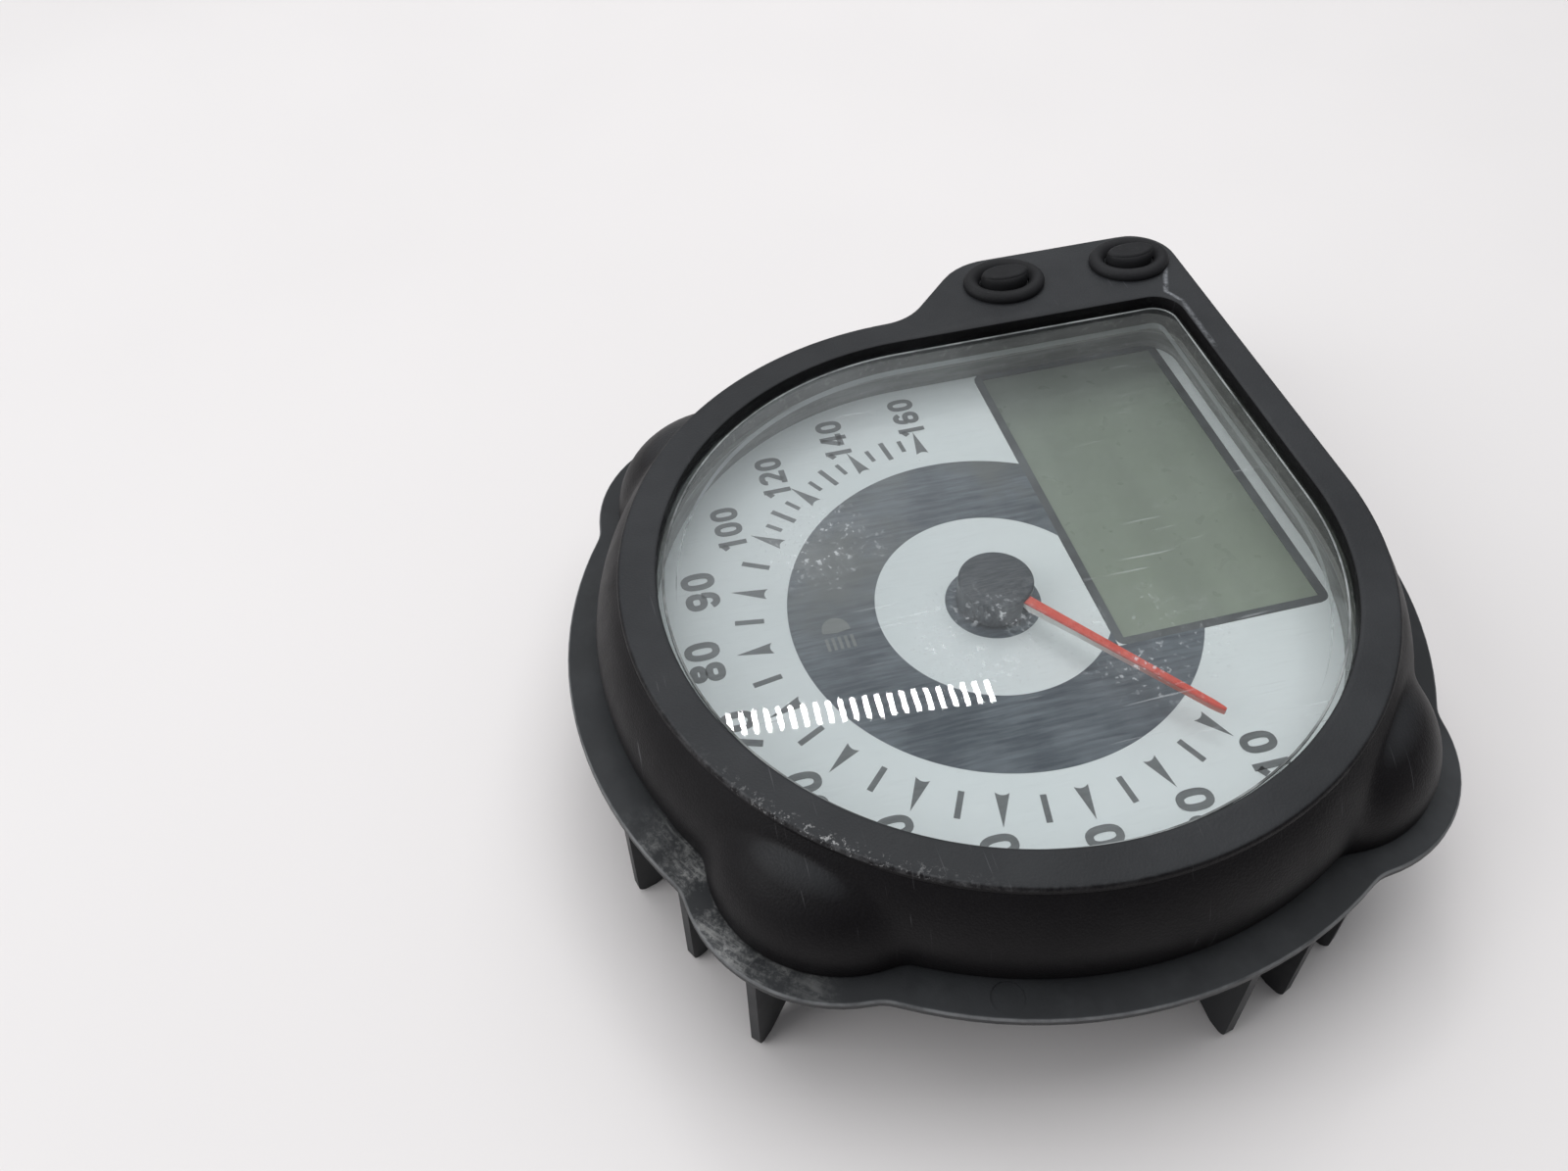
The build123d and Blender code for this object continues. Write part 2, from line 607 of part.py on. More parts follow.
# ---- buttons ----
def button_boot(y):
    """Fixed rubber collar that seals the key's hole, gripping the case plate in its groove."""
    place = (BUTTON_X, y)
    collar = disc(place, BOOT_R, BEZEL_TOP_Z, BOOT_TOP_Z)
    collar = fillet(collar.faces().sort_by(Axis.Z)[-1].edges(), 1.2)
    body = collar + disc(place, BOOT_NECK_R, PLATE_UNDER_Z, BEZEL_TOP_Z)
    body += disc(place, BOOT_LIP_R, PLATE_UNDER_Z - 1, PLATE_UNDER_Z)
    body -= disc(place, KEY_R + KEY_GAP, 30, 50)
    mouth = Pos(BUTTON_X, y, BOOT_TOP_Z - 0.8) * Cone(KEY_R + KEY_GAP, KEY_R + 1.0, 0.8, align=BASE)
    return body - mouth


def button_key(y):
    place = (BUTTON_X, y)
    skirt_z = KEY_SKIRT_Z[0]
    body = disc(place, KEY_R, skirt_z, KEY_FACE_Z)
    ridge = slab(Pos(*place) * Ellipse(*KEY_RIDGE), KEY_FACE_Z, KEY_RIDGE_Z)
    body += fillet(ridge.faces().sort_by(Axis.Z)[-1].edges(), 0.6)
    body += disc(place, KEY_R + 1.2, *KEY_SKIRT_Z)
    half_width, half_web = KEY_STEM
    for turn in (0, 90):
        web = block((-half_width, half_width), (-half_web, half_web), (PLUNGER_Z[1], skirt_z))
        body += Pos(BUTTON_X, y) * Rot(0, 0, turn) * web
    return body


def switch_body(y):
    half = SWITCH_SIZE / 2
    body = block((BUTTON_X - half, BUTTON_X + half), (y - half, y + half), (PCB_Z[1], SWITCH_TOP_Z))
    return body - disc((BUTTON_X, y), PLUNGER_R + FIT, PCB_Z[1] + 1.0, SWITCH_TOP_Z)


def switch_plunger(y):
    return disc((BUTTON_X, y), PLUNGER_R, *PLUNGER_Z)


# ---- every named piece ----
def group(solids):
    return Compound(children=list(solids))


nodes = {
    "front_case": front_case(),
    "rear_case": rear_case(),
    "case_gasket": case_gasket(),
    "case_screws": group(case_screw(place) for place in SCREW_PLACES + [STRIP_SCREW]),
    "mount_inserts": group(mount_insert(angle) for angle in MOUNT_ANGLES),
    "breather_vent": breather_vent(),
    "clear_lens": clear_lens(),
    "lens_gasket": lens_gasket(),
    "dial_shroud": dial_shroud(),
    "dial_plate": dial_plate(),
    "light_guide": light_guide(),
    "lcd_frame": lcd_frame(),
    "lcd_glass": lcd_glass(),
    "lcd_backlight": lcd_backlight(),
    "zebra_strips": group(zebra_strip(y) for y in (LCD_Y[0] + 2.2, LCD_Y[1] - 2.2)),
    "light_box": light_box(),
    "main_pcb": main_pcb(),
    "pcb_screws": group(pcb_screw(place) for place in PCB_SCREWS),
    "dial_leds": group(led(polar(DIAL_LED_R, angle)) for angle in DIAL_LED_ANGLES),
    "telltale_leds": group(led(polar(TELLTALE_R, angle)) for angle in TELLTALE_ANGLES),
    "microcontroller": microcontroller(),
    "capacitors": group(capacitor(place) for place in CAPACITOR_PLACES),
    "connector_shell": connector_shell(),
    "connector_pins": group(pin(x, y) for x, y in pin_places()),
    "connector_gasket": connector_gasket(),
    "motor_housing_rear": motor_housing_rear(),
    "motor_housing_front": motor_housing_front(),
    "stator": stator(),
    "coils": group(coil(x) for x in (-COIL_X, COIL_X)),
    "rotor": rotor(),
    "idler_gear": idler_gear(),
    "output_gear_shaft": output_gear_shaft(),
    "needle": needle(),
    "pointer_cap": pointer_cap(),
}
for side, side_y in BUTTON_YS.items():
    nodes[side + "_button_boot"] = button_boot(side_y)
    nodes[side + "_button_key"] = button_key(side_y)
    nodes[side + "_switch_body"] = switch_body(side_y)
    nodes[side + "_switch_plunger"] = switch_plunger(side_y)

os.makedirs("parts", exist_ok=True)
for name, shape in nodes.items():
    export_step(shape, "parts/" + name + ".step")
    print(name, round(shape.volume, 1))
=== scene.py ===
import json
import math

import bmesh
import bpy
import numpy as np
from mathutils import Matrix, Vector


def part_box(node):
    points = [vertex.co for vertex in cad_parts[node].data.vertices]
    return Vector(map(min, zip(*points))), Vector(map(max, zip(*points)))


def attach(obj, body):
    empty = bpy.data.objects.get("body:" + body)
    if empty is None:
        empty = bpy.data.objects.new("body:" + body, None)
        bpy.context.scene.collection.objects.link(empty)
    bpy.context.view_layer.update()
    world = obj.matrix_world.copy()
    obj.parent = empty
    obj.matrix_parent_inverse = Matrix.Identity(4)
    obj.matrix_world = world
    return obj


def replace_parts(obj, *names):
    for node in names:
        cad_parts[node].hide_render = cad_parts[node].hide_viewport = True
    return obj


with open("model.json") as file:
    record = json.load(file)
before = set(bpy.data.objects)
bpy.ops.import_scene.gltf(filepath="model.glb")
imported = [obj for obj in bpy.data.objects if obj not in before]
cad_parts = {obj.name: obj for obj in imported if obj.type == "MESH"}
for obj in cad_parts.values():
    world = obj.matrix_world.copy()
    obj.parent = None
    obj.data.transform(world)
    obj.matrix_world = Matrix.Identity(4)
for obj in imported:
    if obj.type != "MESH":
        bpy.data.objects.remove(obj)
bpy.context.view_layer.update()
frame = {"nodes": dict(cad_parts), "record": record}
NODES = frame["nodes"]
MM = 0.001

# Sizes in millimetres, as in the CAD model.
DIAL_Z = 30.0
RING_R = (19.5, 34.0)
HUB_DISC_R = 7.9
PRINT_T = 0.04
NEEDLE_ANGLE = 216.0
NEEDLE_Z = (33.7, 35.0)
NEEDLE_R = (5.0, 41.1)
NEEDLE_WIDTHS = (1.8, 1.0)
HUB_R = 4.6

# ---------------------------------------------------------------- camera and light

CAMERA_AT = Vector((-0.13705, 0.06552, 0.19973))
CAMERA_LOOK = Vector((0.6546, -0.1449, -0.7420))
CAMERA_ROLL = -2.245
CAMERA_LENS = 31.34

camera_data = bpy.data.cameras.new("camera")
camera_data.lens = CAMERA_LENS
camera_data.sensor_width = 36.0
camera_data.clip_start = 0.005
camera = bpy.data.objects.new("camera", camera_data)
turn = CAMERA_LOOK.to_track_quat("-Z", "Y").to_matrix()
roll = Matrix.Rotation(math.radians(CAMERA_ROLL), 3, "Z")
camera.matrix_world = Matrix.Translation(CAMERA_AT) @ (turn @ roll).to_4x4()
bpy.context.scene.collection.objects.link(camera)
bpy.context.scene.camera = camera
bpy.context.scene.view_settings.view_transform = "Standard"


def area_light(name, at, towards, size, power, colour=(1, 1, 1), along=None):
    data = bpy.data.lights.new(name, "AREA")
    data.shape = "RECTANGLE"
    data.size, data.size_y = size
    data.energy = power
    data.color = colour
    light = bpy.data.objects.new(name, data)
    back = (Vector(at) - Vector(towards)).normalized()
    side = Vector(along if along else (0, 1, 0))
    side = (side - back * side.dot(back)).normalized()
    light.matrix_world = Matrix.Translation(at) @ Matrix((side, back.cross(side), back)).transposed().to_4x4()
    bpy.context.scene.collection.objects.link(light)
    return light


overhead = area_light("soft_overhead", (0.35, -0.1, 1.1), (0.0, 0.0, 0.0), (1.3, 1.3), 8.8, (0.98, 0.99, 1.0))
overhead.visible_glossy = False
area_light("soft_side", (-0.1, 1.0, 0.7), (0.0, 0.0, 0.0), (0.8, 0.8), 5.2, (0.98, 0.99, 1.0))

# A ceiling fitting made of narrow strips, seen as a row of slits in the lens.
STRIP_COUNT = 22
STRIP_ROW = (Vector((0.4605, -0.0218, 0.70)), Vector((0.4401, -0.2174, 0.70)))
STRIP_SIZE = (0.0036, 0.0200)
STRIP_LEAN = Vector((-0.0200, 0.0013, 0.0))
STRIP_POWER = 0.022
for i in range(STRIP_COUNT):
    spot = STRIP_ROW[0].lerp(STRIP_ROW[1], i / (STRIP_COUNT - 1))
    size = (STRIP_SIZE[1], STRIP_SIZE[0])
    area_light(f"strip_{i:02d}", spot, spot - Vector((0, 0, 1)), size, STRIP_POWER, along=STRIP_LEAN)

world = bpy.data.worlds.new("studio")
bpy.context.scene.world = world
world.use_nodes = True
sky = world.node_tree
sky.nodes["Background"].inputs["Strength"].default_value = 0.69
sky_coord = sky.nodes.new("ShaderNodeTexCoord")
sky_split = sky.nodes.new("ShaderNodeSeparateXYZ")
sky_ramp = sky.nodes.new("ShaderNodeValToRGB")
sky_mix = sky.nodes.new("ShaderNodeMath")
sky_mix.operation = "MULTIPLY_ADD"
sky_mix.inputs[1].default_value = 0.35
sky.links.new(sky_coord.outputs["Generated"], sky_split.inputs[0])
sky.links.new(sky_split.outputs["X"], sky_mix.inputs[0])
sky.links.new(sky_split.outputs["Z"], sky_mix.inputs[2])
sky.links.new(sky_mix.outputs[0], sky_ramp.inputs[0])
sky.links.new(sky_ramp.outputs[0], sky.nodes["Background"].inputs["Color"])
sky_ramp.color_ramp.elements[0].position = 0.0
sky_ramp.color_ramp.elements[0].color = (0.10, 0.10, 0.11, 1)
sky_ramp.color_ramp.elements[1].position = 0.9
sky_ramp.color_ramp.elements[1].color = (0.86, 0.88, 0.90, 1)

# ---------------------------------------------------------------- materials


class Shade:
    """One material, built node by node. Coordinates are the row frame's, in metres."""

    def __init__(self, name):
        self.mat = bpy.data.materials.new(name)
        self.mat.use_nodes = True
        self.tree = self.mat.node_tree
        self.tree.nodes.clear()
        self.place = self.node("TexCoord").outputs["Object"]

    def node(self, kind, **settings):
        made = self.tree.nodes.new("ShaderNode" + kind)
        for key, value in settings.items():
            setattr(made, key, value)
        return made

    def feed(self, socket, value):
        if isinstance(value, bpy.types.NodeSocket):
            self.tree.links.new(value, socket)
        elif isinstance(value, (tuple, list)) and len(value) == 3 and socket.type == "RGBA":
            socket.default_value = (*value, 1)
        else:
            socket.default_value = value

    def math(self, operation, a, b=0.0, clamp=False):
        made = self.node("Math", operation=operation, use_clamp=clamp)
        self.feed(made.inputs[0], a)
        self.feed(made.inputs[1], b)
        return made.outputs[0]

    def stretch(self, scale, turn=(0, 0, 0), shift=(0, 0, 0)):
        made = self.node("Mapping")
        made.inputs["Scale"].default_value = scale
        made.inputs["Rotation"].default_value = [math.radians(a) for a in turn]
        made.inputs["Location"].default_value = shift
        self.feed(made.inputs["Vector"], self.place)
        return made.outputs[0]

    def noise(self, scale, detail=2.0, roughness=0.5, at=None, distortion=0.0):
        made = self.node("TexNoise")
        self.feed(made.inputs["Vector"], at or self.place)
        made.inputs["Scale"].default_value = scale
        made.inputs["Detail"].default_value = detail
        made.inputs["Roughness"].default_value = roughness
        made.inputs["Distortion"].default_value = distortion
        return made.outputs["Fac"]

    def cells(self, scale, feature="F1", at=None):
        made = self.node("TexVoronoi", feature=feature)
        self.feed(made.inputs["Vector"], at or self.place)
        made.inputs["Scale"].default_value = scale
        return made.outputs["Distance"]

    def remap(self, value, low, high, out_low=0.0, out_high=1.0):
        made = self.node("MapRange", clamp=True)
        for socket, number in zip(made.inputs[:5], (value, low, high, out_low, out_high)):
            self.feed(socket, number)
        return made.outputs[0]

    def mix(self, factor, a, b):
        made = self.node("Mix", data_type="RGBA")
        self.feed(made.inputs[0], factor)
        self.feed(made.inputs[6], a)
        self.feed(made.inputs[7], b)
        return made.outputs[2]

    def axis(self, name):
        if not hasattr(self, "split"):
            self.split = self.node("SeparateXYZ")
            self.feed(self.split.inputs[0], self.place)
        return self.split.outputs[name]

    def facing_up(self, low=0.75, high=0.98):
        split = self.node("SeparateXYZ")
        self.feed(split.inputs[0], self.node("NewGeometry").outputs["Normal"])
        return self.remap(split.outputs["Z"], low, high)

    def bump(self, height, depth, strength=1.0, under=None):
        made = self.node("Bump")
        made.inputs["Strength"].default_value = strength
        made.inputs["Distance"].default_value = depth
        self.feed(made.inputs["Height"], height)
        if under is not None:
            self.feed(made.inputs["Normal"], under)
        return made.outputs[0]

    def finish(self, colour, roughness, normal=None, **constants):
        made = self.node("BsdfPrincipled")
        self.feed(made.inputs["Base Color"], colour)
        self.feed(made.inputs["Roughness"], roughness)
        if normal is not None:
            self.feed(made.inputs["Normal"], normal)
        for key, value in constants.items():
            self.feed(made.inputs[key.replace("_", " ")], value)
        out = self.node("OutputMaterial")
        self.tree.links.new(made.outputs[0], out.inputs["Surface"])
        return self.mat


def grained(name, colour, roughness, grain=0.4, depth=0.03, patch=0.25, dust=0.0,
            dust_colour=(0.35, 0.34, 0.33), **constants):
    """A material with a fine grain, uneven colour and gloss, and dust in patches on upward faces."""
    s = Shade(name)
    fine = s.noise(1 / (grain * MM), 3.0, 0.6)
    broad = s.noise(60.0, 4.0, 0.6)
    darker = tuple(c * (1 - patch) for c in colour)
    lighter = tuple(min(1.0, c * (1 + patch)) for c in colour)
    tint = s.mix(s.remap(broad, 0.3, 0.7), darker, lighter)
    tint = s.mix(s.remap(fine, 0.25, 0.75, 0.0, 0.25), tint, tuple(c * 0.6 for c in colour))
    if dust:
        settled = s.math("MULTIPLY", s.remap(s.noise(35.0, 6.0, 0.7), 0.45, 0.75), s.facing_up())
        specks = s.math("MULTIPLY", s.remap(s.noise(1500.0, 2.0), 0.5, 0.7), settled)
        cover = s.math("MULTIPLY", s.math("ADD", s.math("MULTIPLY", settled, 0.5), specks), dust, clamp=True)
        tint = s.mix(cover, tint, dust_colour)
    gloss = s.remap(s.noise(140.0, 3.0), 0.3, 0.7, roughness - 0.07, roughness + 0.07)
    return s.finish(tint, gloss, s.bump(fine, depth * MM), **constants)


def near(s, place, reach):
    """1 close to a place given in metres, falling to 0 at this reach."""
    gap = s.node("VectorMath", operation="DISTANCE")
    s.feed(gap.inputs[0], s.place)
    gap.inputs[1].default_value = place
    return s.remap(gap.outputs["Value"], reach, reach * 0.45)


def stroke_near(s, start, end, reach):
    """1 along a straight stroke given in metres, falling to 0 at this reach from it."""
    along = Vector(end) - Vector(start)
    off = s.node("VectorMath", operation="SUBTRACT")
    s.feed(off.inputs[0], s.place)
    off.inputs[1].default_value = start
    dot = s.node("VectorMath", operation="DOT_PRODUCT")
    s.feed(dot.inputs[0], off.outputs[0])
    dot.inputs[1].default_value = along / along.length_squared
    part = s.math("MULTIPLY", dot.outputs["Value"], 1.0, clamp=True)
    foot = s.node("VectorMath", operation="SCALE")
    foot.inputs[0].default_value = along
    s.feed(foot.inputs["Scale"], part)
    gap = s.node("VectorMath", operation="DISTANCE")
    s.feed(gap.inputs[0], off.outputs[0])
    s.feed(gap.inputs[1], foot.outputs[0])
    return s.remap(gap.outputs["Value"], reach, reach * 0.3)


# Pale scrapes on the button strip, start and end in metres.
SCRAPES = (((0.0649, -0.0579, 0.04275), (0.0552, -0.0536, 0.04275)),
           ((0.0552, -0.0536, 0.04275), (0.0517, -0.0552, 0.04275)),
           ((0.0517, -0.0552, 0.04275), (0.0376, -0.0551, 0.04275)))


def case_black():
    s = Shade("case_black")
    grain = s.cells(2600.0)
    fine = s.noise(5200.0, 2.0)
    height = s.math("ADD", grain, s.math("MULTIPLY", fine, 0.5))
    broad = s.noise(45.0, 4.0, 0.6)
    up = s.facing_up(0.80, 0.99)
    # Painted shade and light: the side walls get a much darker colour than the upward faces of the same
    # plastic, standing in for how the light falls on them.
    wall = s.mix(s.remap(broad, 0.3, 0.7), (0.0042, 0.0035, 0.0042), (0.0075, 0.0066, 0.0074))
    top = s.mix(s.remap(broad, 0.3, 0.7), (0.0155, 0.0165, 0.0185), (0.0235, 0.0250, 0.0275))
    tint = s.mix(up, wall, top)
    tint = s.mix(s.remap(fine, 0.45, 0.8, 0.0, 0.3), tint, (0.026, 0.026, 0.028))
    haze = s.math("MULTIPLY", s.remap(s.noise(25.0, 5.0, 0.65), 0.42, 0.78, 0.0, 0.30), up)
    tint = s.mix(haze, tint, (0.050, 0.052, 0.057))
    hair = s.noise(90.0, 2.0, 0.5, at=s.stretch((1.0, 26.0, 1.0), (0, 0, 24)))
    hair = s.math("MULTIPLY", s.remap(hair, 0.70, 0.74), s.remap(s.noise(30.0, 2.0), 0.5, 0.65))
    tint = s.mix(s.math("MULTIPLY", hair, 0.35), tint, (0.16, 0.16, 0.17))
    edge = s.node("Attribute", attribute_name="edge_wear").outputs["Fac"]
    worn = s.math("MULTIPLY", edge, s.remap(s.noise(420.0, 5.0, 0.75), 0.40, 0.62))
    tint = s.mix(s.math("MULTIPLY", worn, 0.42), tint, (0.15, 0.15, 0.155))
    chipped = s.node("Attribute", attribute_name="chips").outputs["Fac"]
    chips = s.math("MULTIPLY", chipped, s.remap(s.noise(1300.0, 4.0, 0.7), 0.57, 0.61))
    tint = s.mix(s.math("MULTIPLY", chips, 0.65), tint, (0.40, 0.40, 0.40))
    scrape = s.math("MAXIMUM", stroke_near(s, *SCRAPES[0], 0.0006), stroke_near(s, *SCRAPES[1], 0.0005))
    scrape = s.math("MAXIMUM", scrape, s.math("MULTIPLY", stroke_near(s, *SCRAPES[2], 0.0006), 0.6))
    scrape = s.math("MULTIPLY", scrape, s.remap(s.noise(900.0, 4.0, 0.7), 0.36, 0.62))
    tint = s.mix(s.math("MULTIPLY", scrape, 0.75), tint, (0.27, 0.28, 0.30))
    gloss = s.remap(s.noise(110.0, 3.0), 0.3, 0.7, 0.42, 0.54)
    shine = s.remap(up, 0.0, 1.0, 0.16, 0.34)
    return s.finish(tint, gloss, s.bump(height, 0.05 * MM, 0.7), Specular_IOR_Level=shine)


def rear_black():
    s = Shade("rear_black")
    fine = s.noise(3200.0, 3.0, 0.6)
    tint = s.mix(s.remap(s.noise(50.0, 4.0, 0.6), 0.3, 0.7), (0.012, 0.013, 0.0145), (0.023, 0.0245, 0.027))
    up = s.facing_up(0.6, 0.9)
    x, y, z = s.axis("X"), s.axis("Y"), s.axis("Z")
    high = s.remap(z, 0.0235, 0.0245)
    angle = s.math("ARCTAN2", y, x)
    beside = s.math("MULTIPLY", s.remap(angle, 1.88, 2.14), s.remap(angle, 2.52, 2.26))
    rubbed = s.remap(s.noise(120.0, 6.0, 0.7), 0.42, 0.62)
    rubbed = s.math("MULTIPLY", s.math("MULTIPLY", rubbed, beside), s.math("MULTIPLY", high, up))
    grit = s.remap(s.noise(1400.0, 3.0, 0.7), 0.45, 0.62)
    away = s.math("SQRT", s.math("ADD", s.math("MULTIPLY", x, x), s.math("MULTIPLY", y, y)))
    around = s.node("CombineXYZ")
    s.feed(around.inputs["X"], away)
    s.feed(around.inputs["Y"], s.math("MULTIPLY", angle, 0.006))
    streak = s.remap(s.noise(2000.0, 2.0, at=around.outputs[0]), 0.48, 0.64)
    worn = s.math("MULTIPLY", rubbed, s.math("MAXIMUM", grit, streak), clamp=True)
    tint = s.mix(s.math("MULTIPLY", rubbed, 0.55), tint, (0.10, 0.102, 0.105))
    tint = s.mix(s.math("MULTIPLY", worn, 0.7), tint, (0.34, 0.34, 0.33))
    settled = s.math("MULTIPLY", s.remap(s.noise(30.0, 5.0, 0.7), 0.46, 0.8, 0.0, 0.4), up)
    tint = s.mix(settled, tint, (0.075, 0.08, 0.085))
    # Painted highlight: a lighter band on the flange's rounded outer edge, where the light catches it, broken
    # up by noise.
    rim = s.math("MULTIPLY", s.facing_up(0.97, 0.80), s.facing_up(0.02, 0.25))
    uneven = s.remap(s.noise(160.0, 4.0, 0.7), 0.30, 0.60, 0.35, 1.0)
    rim = s.math("MULTIPLY", s.math("MULTIPLY", rim, high), uneven)
    tint = s.mix(s.math("MULTIPLY", rim, 0.8), tint, (0.20, 0.205, 0.21))
    gloss = s.remap(s.noise(100.0, 3.0), 0.3, 0.7, 0.42, 0.6)
    return s.finish(tint, gloss, s.bump(fine, 0.03 * MM, 0.8), Specular_IOR_Level=0.4)


# Dried residue on the lens, and a broad patch of painted glare towards the upper left: place and reach, in
# metres.
RESIDUE = (((-0.0148, 0.0084, 0.0407), 0.012), ((0.0095, 0.0262, 0.0407), 0.012),
           ((-0.0225, -0.0155, 0.0407), 0.014))
PAINTED_GLARE = ((0.030, 0.036, 0.0407), 0.060)


def lens_clear():
    s = Shade("lens_clear")
    wipe = s.noise(60.0, 3.0, 0.6, at=s.stretch((14.0, 1.0, 1.0), (0, 0, 4)))
    cloud = s.remap(s.noise(38.0, 5.0, 0.65), 0.42, 0.72)
    fine = s.noise(500.0, 2.0, 0.5, at=s.stretch((7.0, 0.6, 1.0), (0, 0, 4)))
    scratch = s.noise(160.0, 1.0, 0.4, at=s.stretch((9.0, 0.3, 1.0), (0, 0, 68)))
    hair = s.math("MULTIPLY", s.remap(scratch, 0.71, 0.75), s.remap(s.noise(50.0), 0.52, 0.62))
    haze = s.math("MULTIPLY", s.remap(wipe, 0.35, 0.75), 0.016)
    haze = s.math("ADD", haze, s.math("MULTIPLY", cloud, 0.022))
    haze = s.math("ADD", haze, s.math("MULTIPLY", s.remap(fine, 0.55, 0.8), 0.03))
    haze = s.math("ADD", haze, s.math("MULTIPLY", hair, 0.22))
    patches = near(s, *RESIDUE[0])
    for place, reach in RESIDUE[1:]:
        patches = s.math("MAXIMUM", patches, near(s, place, reach))
    patches = s.math("MULTIPLY", patches, s.remap(s.noise(110.0, 4.0, 0.7), 0.40, 0.60))
    small, large = s.noise(1150.0, 2.0, 0.6), s.noise(600.0, 3.0, 0.6)
    drops = s.math("MAXIMUM", s.remap(small, 0.60, 0.66), s.remap(large, 0.62, 0.68))
    haze = s.math("ADD", haze, s.math("MULTIPLY", s.math("MULTIPLY", drops, patches), 0.40))
    haze = s.math("ADD", haze, s.math("MULTIPLY", patches, 0.05))
    specks = s.math("MULTIPLY", s.remap(s.cells(150.0), 0.045, 0.025), s.remap(s.noise(60.0), 0.55, 0.58))
    haze = s.math("ADD", haze, s.math("MULTIPLY", specks, 0.45))
    # Painted reflection: a broad pale film towards the upper left stands in for glare on the lens and lifts
    # the bezel's shadow on the dial.
    haze = s.math("ADD", haze, s.math("MULTIPLY", near(s, *PAINTED_GLARE), 0.075))
    # Painted highlight: the lens's side faces get a pale film, so its edge shows as a bright line.
    sides = s.facing_up(0.85, 0.30)
    haze = s.math("ADD", haze, s.math("MULTIPLY", sides, 0.42))
    haze = s.math("ADD", haze, 0.005, clamp=True)
    front = s.math("SUBTRACT", 1.0, s.node("NewGeometry").outputs["Backfacing"])
    haze = s.math("MULTIPLY", haze, front)
    clear = s.node("BsdfTransparent")
    clear.inputs["Color"].default_value = (0.992, 0.998, 0.996, 1)
    film = s.node("BsdfDiffuse")
    film.inputs["Color"].default_value = (0.75, 0.78, 0.80, 1)
    mirror = s.node("BsdfGlossy")
    mirror.inputs["Roughness"].default_value = 0.012
    ripple = s.math("ADD", s.noise(1500.0, 2.0, at=s.stretch((3.0, 0.8, 1.0), (0, 0, 4))),
                    s.math("MULTIPLY", s.noise(90.0, 1.0), 2.0))
    s.feed(mirror.inputs["Normal"], s.bump(ripple, 0.0006 * MM, 0.5))
    fresnel = s.node("Fresnel")
    fresnel.inputs["IOR"].default_value = 1.50
    shine = s.math("MULTIPLY", fresnel.outputs[0], front)
    body = s.node("MixShader")
    s.feed(body.inputs[0], haze)
    s.feed(body.inputs[1], clear.outputs[0])
    s.feed(body.inputs[2], film.outputs[0])
    top = s.node("MixShader")
    s.feed(top.inputs[0], shine)
    s.feed(top.inputs[1], body.outputs[0])
    s.feed(top.inputs[2], mirror.outputs[0])
    out = s.node("OutputMaterial")
    s.feed(out.inputs["Surface"], top.outputs[0])
    return s.mat


def lcd_panel():
    s = Shade("lcd_panel")
    x, y = s.axis("X"), s.axis("Y")
    edge = s.math("ADD", x, s.math("MULTIPLY", y, 0.10))
    edge = s.math("ADD", edge, s.math("MULTIPLY", s.noise(30.0, 3.0), 0.004))
    shade = s.remap(edge, 0.0365, 0.0455)
    lit = s.mix(s.remap(x, -0.014, 0.040), (0.285, 0.328, 0.262), (0.235, 0.272, 0.225))
    tint = s.mix(shade, lit, (0.198, 0.222, 0.196))
    smear = s.remap(s.noise(26.0, 4.0, 0.6, at=s.stretch((1.0, 2.6, 1.0), (0, 0, 30))), 0.5, 0.75)
    tint = s.mix(s.math("MULTIPLY", smear, 0.14), tint, (0.30, 0.34, 0.31))
    crease = s.noise(22.0, 2.0, 0.5, at=s.stretch((0.5, 4.0, 1.0), (0, 0, 14)))
    tint = s.mix(s.math("MULTIPLY", s.remap(crease, 0.56, 0.70), 0.22), tint, (0.17, 0.195, 0.165))
    gloss = s.remap(s.noise(300.0, 2.0), 0.3, 0.7, 0.26, 0.38)
    return s.finish(tint, gloss, s.bump(s.noise(120.0), 0.004 * MM))


def shroud_grey():
    """Glossy grey ring seen through the lens, with painted reflections: streaks, and a paler band below its
    step for the white dial's reflection.
    """
    s = Shade("shroud_plastic")
    z = s.axis("Z")
    streak = s.noise(60.0, 4.0, 0.65, at=s.stretch((1.0, 1.0, 9.0)))
    upper = s.mix(s.remap(streak, 0.35, 0.65), (0.060, 0.062, 0.054), (0.120, 0.122, 0.110))
    upper = s.mix(s.remap(s.axis("Y"), 0.005, 0.045, 0.0, 0.75), upper, (0.150, 0.156, 0.150))
    # Painted reflection: the band below the step is paler, standing in for the white dial reflected in it.
    lower = s.mix(s.remap(streak, 0.35, 0.65), (0.150, 0.155, 0.145), (0.270, 0.278, 0.270))
    tint = s.mix(s.remap(z, 0.0340, 0.0336), upper, lower)
    # Painted highlight: a thin bright line along the step.
    line = s.math("MULTIPLY", s.remap(z, 0.0335, 0.0337), s.remap(z, 0.0342, 0.0339))
    tint = s.mix(s.math("MULTIPLY", line, 0.8), tint, (0.42, 0.43, 0.41))
    dust = s.remap(s.noise(700.0, 4.0, 0.7), 0.56, 0.66)
    tint = s.mix(s.math("MULTIPLY", dust, 0.25), tint, (0.40, 0.40, 0.38))
    return s.finish(tint, s.remap(streak, 0.3, 0.7, 0.12, 0.28), s.bump(streak, 0.02 * MM))


